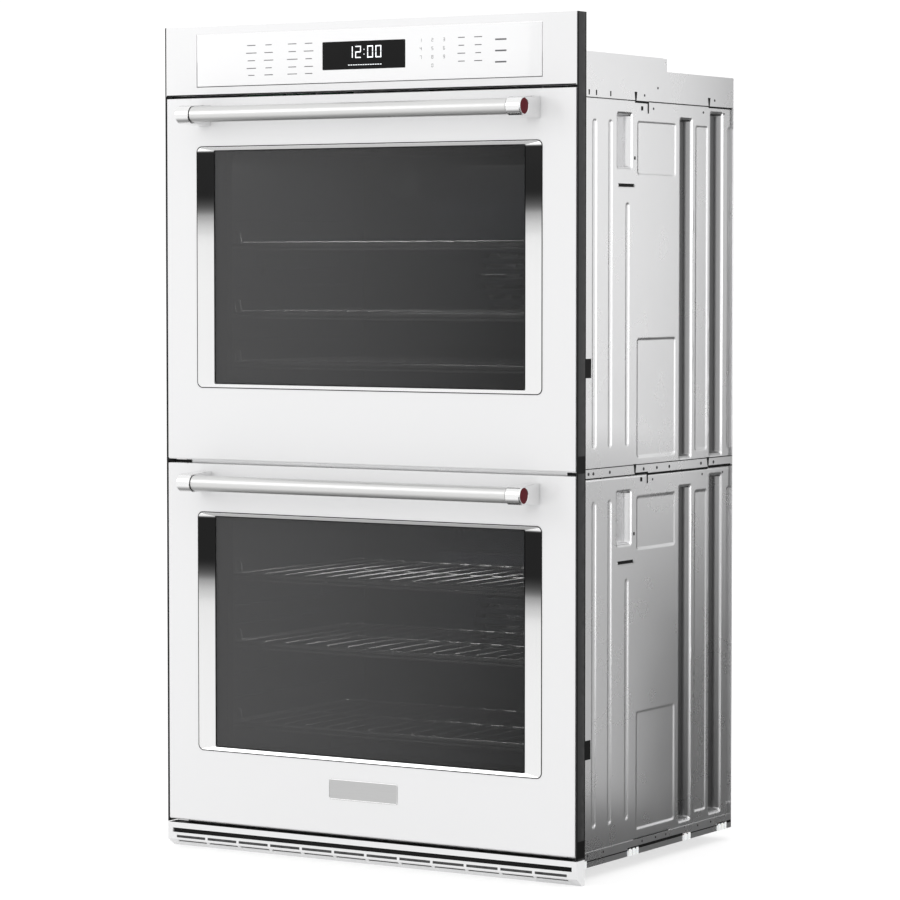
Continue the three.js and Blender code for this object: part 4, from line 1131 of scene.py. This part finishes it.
def add_wedge(mesh, sign, face, y, z_low, z_high, half_top, half_low):
    """A thin dark wedge on the casing's side, wide at the top: painted shade in a notch, also used for the
    slots over the housing's seam.
    """
    outline = ((y - half_top, z_high), (y + half_top, z_high), (y + half_low, z_low), (y - half_low, z_low))
    add_prism_x(mesh, outline, sign * (face - 0.5 * MM), sign * (face + 0.15 * MM))


# Places along Y of the casing's screws: the housing (with heights over its seam), under each seam,
# the middle rail and the base.
HOUSING_SCREWS = ((-0.054, 0.009), (-0.011, 0.022), (0.18, 0.010))
UNDER_SEAM_SCREWS = (-0.024, 0.142, 0.213)
RAIL_SCREWS = (-0.228, -0.213, -0.162, -0.054, -0.011, 0.03, 0.137, 0.18)
BASE_SCREWS = (-0.252, -0.229, -0.180, -0.056, -0.012, 0.022, 0.13, 0.175)
BASE_SCREW_HEIGHT = 18.5 * MM
UNDER_SEAM_DROP = 10.5 * MM


def make_side_screws(side, sign):
    """Small blackened screws along one side of the casing."""
    mid_low, mid_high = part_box("mid_deck")[0].z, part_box("mid_deck")[1].z
    housing_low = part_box("top_housing")[0].z
    screws = bmesh.new()

    def screw(out, y, z, radius, height):
        add_screw(screws, (sign * out, y, z), (sign, 0, 0), radius * MM, height * MM)

    for y, height in HOUSING_SCREWS:
        screw(BODY_HALF, y, housing_low + height, 2.0, 0.8)
    for y in RAIL_SCREWS:
        screw(BODY_HALF, y, (mid_low + mid_high) / 2, 2.6, 0.9)
    for y in BASE_SCREWS:
        screw(BODY_HALF, y, BASE_SCREW_HEIGHT, 1.9, 0.8)
    for seam in (housing_low, mid_low):
        for y in UNDER_SEAM_SCREWS:
            screw(BODY_HALF - 0.5 * MM, y, seam - UNDER_SEAM_DROP, 2.0, 0.8)
    finish_piece(screws, f"casing_screws_{side}", "casing", "blackened_screw", smooth_angle=35)


# Places along Y where the seams step down and up again, and of the slots over the housing's seam.
STEP_FRONT, STEP_REAR, SECOND_STEP = -0.083, -0.040, 0.160
HOUSING_SLOTS = (-0.228, -0.2056, -0.1615)


def make_side_seams(side, sign):
    """Painted shadow: dark strips in the seams where the casing's sheets overlap, and dark patches for the
    shade in notches and slots; each seam steps twice.
    """
    mid_low, mid_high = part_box("mid_deck")[0].z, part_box("mid_deck")[1].z
    housing_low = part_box("top_housing")[0].z
    base_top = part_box("base_pan")[1].z
    dark = bmesh.new()

    def patch(y_from, y_to, z_from, z_to):
        reach = (BODY_HALF - 1.2 * MM, BODY_HALF + 0.15 * MM)
        add_side_slab(dark, sign, reach, (y_from, y_to), (z_from, z_to))

    # Painted shadow in the seams: dark strips along the casing's overlapping edges.
    patch(BODY_FRONT_Y, STEP_FRONT, housing_low - 0.4 * MM, housing_low + 0.5 * MM)
    patch(STEP_REAR, SECOND_STEP, housing_low - 0.9 * MM, housing_low + 0.5 * MM)
    patch(BODY_FRONT_Y, BODY_REAR_Y, mid_high - 0.3 * MM, mid_high + 0.7 * MM)
    patch(BODY_FRONT_Y, STEP_FRONT, mid_low - 0.8 * MM, mid_low + 0.2 * MM)
    patch(STEP_REAR, SECOND_STEP, mid_low - 3.0 * MM, mid_low + 0.2 * MM)
    patch(SECOND_STEP + 5 * MM, BODY_REAR_Y, mid_low - 1.4 * MM, mid_low + 0.2 * MM)
    patch(STEP_FRONT, 0.03, base_top - 0.4 * MM, base_top + 0.8 * MM)
    patch(BODY_FRONT_Y, -0.103, 0.0088, 0.0104)
    patch(-0.103, 0.079, 0.0088, 0.0132)
    patch(0.079, 0.198, 0.0088, 0.0104)
    patch(0.198, BODY_REAR_Y, 0.0088, 0.0128)
    for seam in (housing_low, mid_low + 2.5 * MM):
        patch(STEP_FRONT, STEP_REAR, seam - 3.4 * MM, seam)
        patch(STEP_REAR - 2.5 * MM, STEP_REAR, seam - 18.5 * MM, seam - 1 * MM)
        patch(-0.0635, -0.0585, seam - 14.5 * MM, seam - 8 * MM)
        patch(SECOND_STEP, 0.2395, seam - 2.6 * MM, seam)
        for y in (STEP_FRONT, SECOND_STEP):
            add_wedge(dark, sign, BODY_HALF, y + 1 * MM, seam, seam + 13.5 * MM, 4.2 * MM, 1.8 * MM)
    slot_low, slot_high = housing_low + 3.5 * MM, housing_low + 11.5 * MM
    for y in HOUSING_SLOTS:
        add_wedge(dark, sign, BODY_HALF, y, slot_low, slot_high, 1.9 * MM, 1.5 * MM)
    for bay in BAYS:
        level = DOOR_BOTTOM[bay]
        # Painted shadow under the small ridge beside the pocket.
        patch(-0.136, -0.088, level + 0.4315, level + 0.4365)
        patch(-0.238, -0.2205, level + 0.1395, level + 0.169)
        patch(-0.0855, -0.0825, level + 0.474, level + 0.479)
    finish_piece(dark, f"casing_seam_shadows_{side}", "casing", "black_plastic")


GLIDES = ((-0.243, -0.232), (-0.103, -0.068), (0.079, 0.105), (0.197, 0.2295))
GLIDE_RIB_PITCH = 11 * MM


def make_glides(side, sign):
    """White moulded ribbed glides clipped along the base's lower edge."""
    mesh = bmesh.new()
    plate = (BODY_HALF - 14 * MM, BODY_HALF + 0.8 * MM)
    ribs = (BODY_HALF + 0.8 * MM, BODY_HALF + 2 * MM)
    foot = 0.2 * MM
    for y_from, y_to in GLIDES:
        add_side_slab(mesh, sign, plate, (y_from, y_to), (foot, 9.5 * MM))
        count = max(1, round((y_to - y_from) / GLIDE_RIB_PITCH))
        pitch = (y_to - y_from) / count
        for i in range(count):
            rib_y = y_from + pitch * (i + 0.2)
            add_side_slab(mesh, sign, ribs, (rib_y, rib_y + pitch * 0.6), (foot, 11.5 * MM))
    finish_piece(mesh, f"base_glides_{side}", "casing", "white_plastic", bevel=0.0005)


def make_vent_backing():
    """Dark liner behind the air slot and the louvres, and a black sheet of painted shadow on top of the strip
    under the lower door.
    """
    low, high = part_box("vent_trim")
    half = high.x - 10 * MM
    liner_and_gap_shadow = bmesh.new()
    # Painted shadow: a black sheet on top of the strip, widening the dark gap line between it and the lower
    # door.
    add_slab(liner_and_gap_shadow, (-high.x + 3 * MM, FACE_Y + 0.8 * MM, high.z + 0.05 * MM),
             (high.x - 3 * MM, high.y, high.z + 0.35 * MM))
    add_slab(liner_and_gap_shadow, (-half, FACE_Y + 2.2 * MM, 2 * MM), (half, FACE_Y + 2.8 * MM, 15 * MM))
    finish_piece(liner_and_gap_shadow, "vent_liner_and_gap_shadow", "casing", "black_plastic")
    louvre = bmesh.new()
    lip = [(FACE_Y + 2.6 * MM, -4.4 * MM), (FACE_Y + 16.4 * MM, -15.0 * MM), (FACE_Y + 16.4 * MM, -14.2 * MM),
           (FACE_Y + 2.6 * MM, -3.6 * MM)]
    add_prism_x(louvre, lip, -half, half)
    finish_piece(louvre, "louvre_backing", "casing", "dark_trim")


def make_louvre_mouths():
    """Shaded mouths of the louvres, where they turn up onto the front of the strip."""
    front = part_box("vent_trim")[0].y
    count, pitch, half_width = 12, 61 * MM, 28 * MM
    mouths = bmesh.new()
    for i in range(count):
        x = (i - (count - 1) / 2) * pitch
        add_slab(mouths, (x - half_width, front - 0.15 * MM, -3.4 * MM),
                 (x + half_width, front + 0.3 * MM, 0.6 * MM))
    finish_piece(mouths, "louvre_mouths", "casing", "dark_trim")


def make_fascia_gap_shadow():
    """Painted shadow: a black strip along the fascia's lower edge, above the upper door, that widens the dark
    gap line there.
    """
    low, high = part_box("control_fascia")
    gap_shadow = bmesh.new()
    # Painted shadow widening the gap line below the fascia.
    add_slab(gap_shadow, (low.x + MM, low.y - 0.1 * MM, low.z), (high.x - MM, low.y + 0.3 * MM, low.z + 1.9 * MM))
    finish_piece(gap_shadow, "fascia_lower_gap_shadow", "casing", "black_plastic")


def make_trim_edges(side, sign):
    """Black lines down the front and rear edges of a side trim."""
    low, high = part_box(f"side_trim_{side}")
    reach = (TRIM_OUTER - 0.5 * MM, TRIM_OUTER + 0.12 * MM)
    width = 2.2 * MM
    edges = bmesh.new()
    for along_y in ((low.y, low.y + width), (high.y - width, high.y)):
        add_side_slab(edges, sign, reach, along_y, (low.z, high.z))
    finish_piece(edges, f"trim_edges_{side}", "casing", "black_plastic")


# Name, insets from the frame's sides and ends, corner radius and depth behind the frame's front.
WINDOW_LINES = (("frame_line", -0.2 * MM, -0.2 * MM, 9 * MM, 0.2 * MM),
                ("glass_line", 31.4 * MM, 6.2 * MM, 1.5 * MM, 3.0 * MM))


def make_window_seals(bay):
    """Thin black lines round the window's frame and round its glass."""
    low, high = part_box(f"{bay}_window_bezel")
    middle = (low + high) / 2
    half_width, half_height = (high.x - low.x) / 2, (high.z - low.z) / 2
    for name, side_inset, end_inset, corner, depth in WINDOW_LINES:
        outline = rounded_outline(half_width - side_inset, half_height - end_inset, corner)
        route = [(a, low.y + depth, middle.z + b) for a, b in outline]
        wire_piece(f"{bay}_{name}", f"{bay}_door", [route], 0.7 * MM, "black_plastic", closed=True)


def make_trim_dark_plates(side, sign):
    """Black plates on the side trim beside each door's bottom edge."""
    mesh = bmesh.new()
    for bay in BAYS:
        z = DOOR_BOTTOM[bay]
        add_side_slab(mesh, sign, (TRIM_OUTER - 0.1 * MM, TRIM_OUTER + 0.28 * MM),
                      (FACE_Y + 0.5 * MM, FACE_Y + 24.6 * MM), (z - 2 * MM, z + 24 * MM))
    finish_piece(mesh, f"trim_dark_plates_{side}", "casing", "black_plastic", bevel=0.0001)


# ---------------------------------------------------------------- fascia details

SEGMENTS = {
    "0": "abcdef", "1": "bc", "2": "abged", "3": "abgcd", "4": "fgbc",
    "5": "afgcd", "6": "afgedc", "7": "abc", "8": "abcdefg", "9": "abcdfg",
}


def add_digit(mesh, digit, left, bottom, width, height, stroke, front_y):
    """One seven-segment digit of thin raised bars."""
    middle = bottom + height / 2
    right, top = left + width, bottom + height
    gap = stroke * 0.25
    bars = {
        "a": (left + gap, top - stroke, right - gap, top),
        "g": (left + gap, middle - stroke / 2, right - gap, middle + stroke / 2),
        "d": (left + gap, bottom, right - gap, bottom + stroke),
        "f": (left, middle + gap, left + stroke, top - gap),
        "b": (right - stroke, middle + gap, right, top - gap),
        "e": (left, bottom + gap, left + stroke, middle - gap),
        "c": (right - stroke, bottom + gap, right, middle - gap),
    }
    for name in SEGMENTS[digit]:
        x0, z0, x1, z1 = bars[name]
        add_slab(mesh, (x0, front_y - 0.06 * MM, z0), (x1, front_y, z1))


def make_display():
    """Dark display on the touch glass, with a plain clock reading and a status bar."""
    glass_low, glass_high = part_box("touch_glass")
    glass_y = glass_low.y
    left, right = -78 * MM, 75 * MM
    top, bottom = glass_high.z - 18.3 * MM, glass_high.z - 61.8 * MM
    screen = bmesh.new()
    outline = rounded_outline((right - left) / 2, (top - bottom) / 2, 1.5 * MM)
    add_plate_y(screen, outline, ((left + right) / 2, glass_y + 0.05 * MM, (top + bottom) / 2), 0.25 * MM)
    finish_piece(screen, "display_screen", "casing", "black_display")
    digits = bmesh.new()
    front = glass_y - 0.2 * MM
    height, width, stroke = 18.5 * MM, 10.5 * MM, 1.5 * MM
    start = -32 * MM
    base_z = (top + bottom) / 2 - 4.5 * MM
    for i, digit in enumerate("1200"):
        extra = 7 * MM if i > 1 else 0.0
        add_digit(digits, digit, start + i * 15.2 * MM + extra, base_z, width, height, stroke, front)
    for dot in (0.3, 0.7):
        x = start + 31.4 * MM
        z = base_z + height * dot
        add_slab(digits, (x - 0.7 * MM, front - 0.06 * MM, z - 0.7 * MM), (x + 0.7 * MM, front, z + 0.7 * MM))
    for i in range(14):
        x = -30 * MM + i * 4.5 * MM
        add_slab(digits, (x, front - 0.06 * MM, bottom + 6.2 * MM), (x + 3 * MM, front, bottom + 7.2 * MM))
    finish_piece(digits, "display_digits", "casing", "lit_digit")


# Places along X of the columns of bars and the bars' widths from the top down, in millimetres.
KEY_COLUMNS = (
    (-213, (16, 20, 14, 18, 12)), (-180, (12, 16, 18, 12, 16)), (-135, (16, 14, 20, 15, 18)),
    (-104, (14, 18, 12, 16, 14)), (176, (12, 10, 14, 12)), (206, (14, 12, 10, 14)),
)


def make_key_marks():
    """Generic printed key marks: short bars in columns and a number pad."""
    glass_low, glass_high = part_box("touch_glass")
    front = glass_low.y
    z_top = glass_high.z
    marks = bmesh.new()

    def bar(x, z, width, height=1.3 * MM):
        add_slab(marks, (x - width / 2, front - 0.05 * MM, z - height / 2),
                 (x + width / 2, front + 0.02 * MM, z + height / 2))

    rows = [z_top - depth * MM for depth in (19, 31, 43, 55, 66)]
    for x, widths in KEY_COLUMNS:
        for z, width in zip(rows, widths):
            bar(x * MM, z, width * MM)
    pad_columns = (103, 124, 145)
    pad_rows = [z_top - depth * MM for depth in (21, 34, 47, 60)]
    keys = ("123", "456", "789", " 0 ")
    width, height = 3.2 * MM, 5.2 * MM
    for z, line in zip(pad_rows, keys):
        for x, digit in zip(pad_columns, line):
            if digit != " ":
                add_digit(marks, digit, x * MM - width / 2, z - height / 2, width, height, 0.6 * MM,
                          front + 0.01 * MM)
    for z in (z_top - 24 * MM, z_top - 41 * MM, z_top - 58 * MM):
        bar(246 * MM, z, 20 * MM, 2.4 * MM)
    finish_piece(marks, "key_marks", "casing", "grey_print")


def make_badge():
    """Plain name-free plate on the lower door, held by its own raised rim."""
    z = DOOR_BOTTOM["lower"] + 71.5 * MM
    centre = (-4 * MM, FACE_Y + 0.05 * MM, z)
    plate = bmesh.new()
    add_plate_y(plate, rounded_outline(62.6 * MM, 14.6 * MM, 1.5 * MM), centre, 0.7 * MM)
    finish_piece(plate, "blank_badge", "lower_door", "badge_metal", bevel=0.0002)
    outline = rounded_outline(63.2 * MM, 15.2 * MM, 2 * MM)
    route = [(centre[0] + a, centre[1] - 0.3 * MM, z + b) for a, b in outline]
    wire_piece("badge_rim", "lower_door", [route], 0.8 * MM, "chrome", closed=True)


# ---------------------------------------------------------------- top and rear details

def make_rear_details():
    """Screws round the rear cover and along the back panel's sides."""
    screws = bmesh.new()
    back_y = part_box("back_panel")[1].y
    for sign in (-1, 1):
        for i in range(7):
            add_screw(screws, (sign * 0.345, back_y, 0.03 + i * 0.19), (0, 1, 0))
        for i in range(5):
            add_screw(screws, (sign * 0.252, back_y, 0.16 + i * 0.22), (0, 1, 0))
    finish_piece(screws, "rear_screws", "casing", "plain_steel", smooth_angle=35)


HOUSING_STEP_Y = 6 * MM
HOUSING_REAR_TOP = 1.223
ROOF_LOUVRES = {"count": 12, "first_x": -0.21, "pitch": 38.2 * MM, "half": 12 * MM, "width": 8 * MM}


def make_top_details():
    """Two rows of roof louvres over the blower, and screws along the housing's edges."""
    rear_top = HOUSING_REAR_TOP
    front_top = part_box("top_housing")[1].z
    half = ROOF_LOUVRES["half"]
    slots = bmesh.new()
    for i in range(ROOF_LOUVRES["count"]):
        x = ROOF_LOUVRES["first_x"] + i * ROOF_LOUVRES["pitch"]
        for y in (0.07, 0.095):
            add_slab(slots, (x - half, y, rear_top - 0.5 * MM),
                     (x + half, y + ROOF_LOUVRES["width"], rear_top + 0.15 * MM))
    finish_piece(slots, "roof_louvres", "casing", "black_plastic")
    screws = bmesh.new()
    for sign in (-1, 1):
        for y in (-0.25, -0.13, -0.02):
            add_screw(screws, (sign * 0.34, y, front_top), (0, 0, 1))
        for y in (0.03, 0.13, 0.23):
            add_screw(screws, (sign * 0.34, y, rear_top), (0, 0, 1))
    for x in (-0.2, 0.0, 0.2):
        add_screw(screws, (x, HOUSING_STEP_Y + 12 * MM, rear_top), (0, 0, 1))
        add_screw(screws, (x, -0.258, front_top), (0, 0, 1))
    finish_piece(screws, "roof_screws", "casing", "plain_steel", smooth_angle=35)


# ---------------------------------------------------------------- assembly

make_studio()
dress_frame()
for bay in BAYS:
    make_handle(bay)
    for position in ("bottom", "middle", "top"):
        make_rack(bay, position)
    make_broil_element(bay)
    make_gasket(bay)
    make_lamp(bay)
    make_window_seals(bay)
for side, sign in SIDES:
    for bay in BAYS:
        make_side_panel(bay, side, sign)
    make_side_screws(side, sign)
    make_side_seams(side, sign)
    make_glides(side, sign)
    make_trim_dark_plates(side, sign)
    make_trim_edges(side, sign)
make_display()
make_key_marks()
make_badge()
make_vent_backing()
make_louvre_mouths()
make_fascia_gap_shadow()
make_rear_details()
make_top_details()
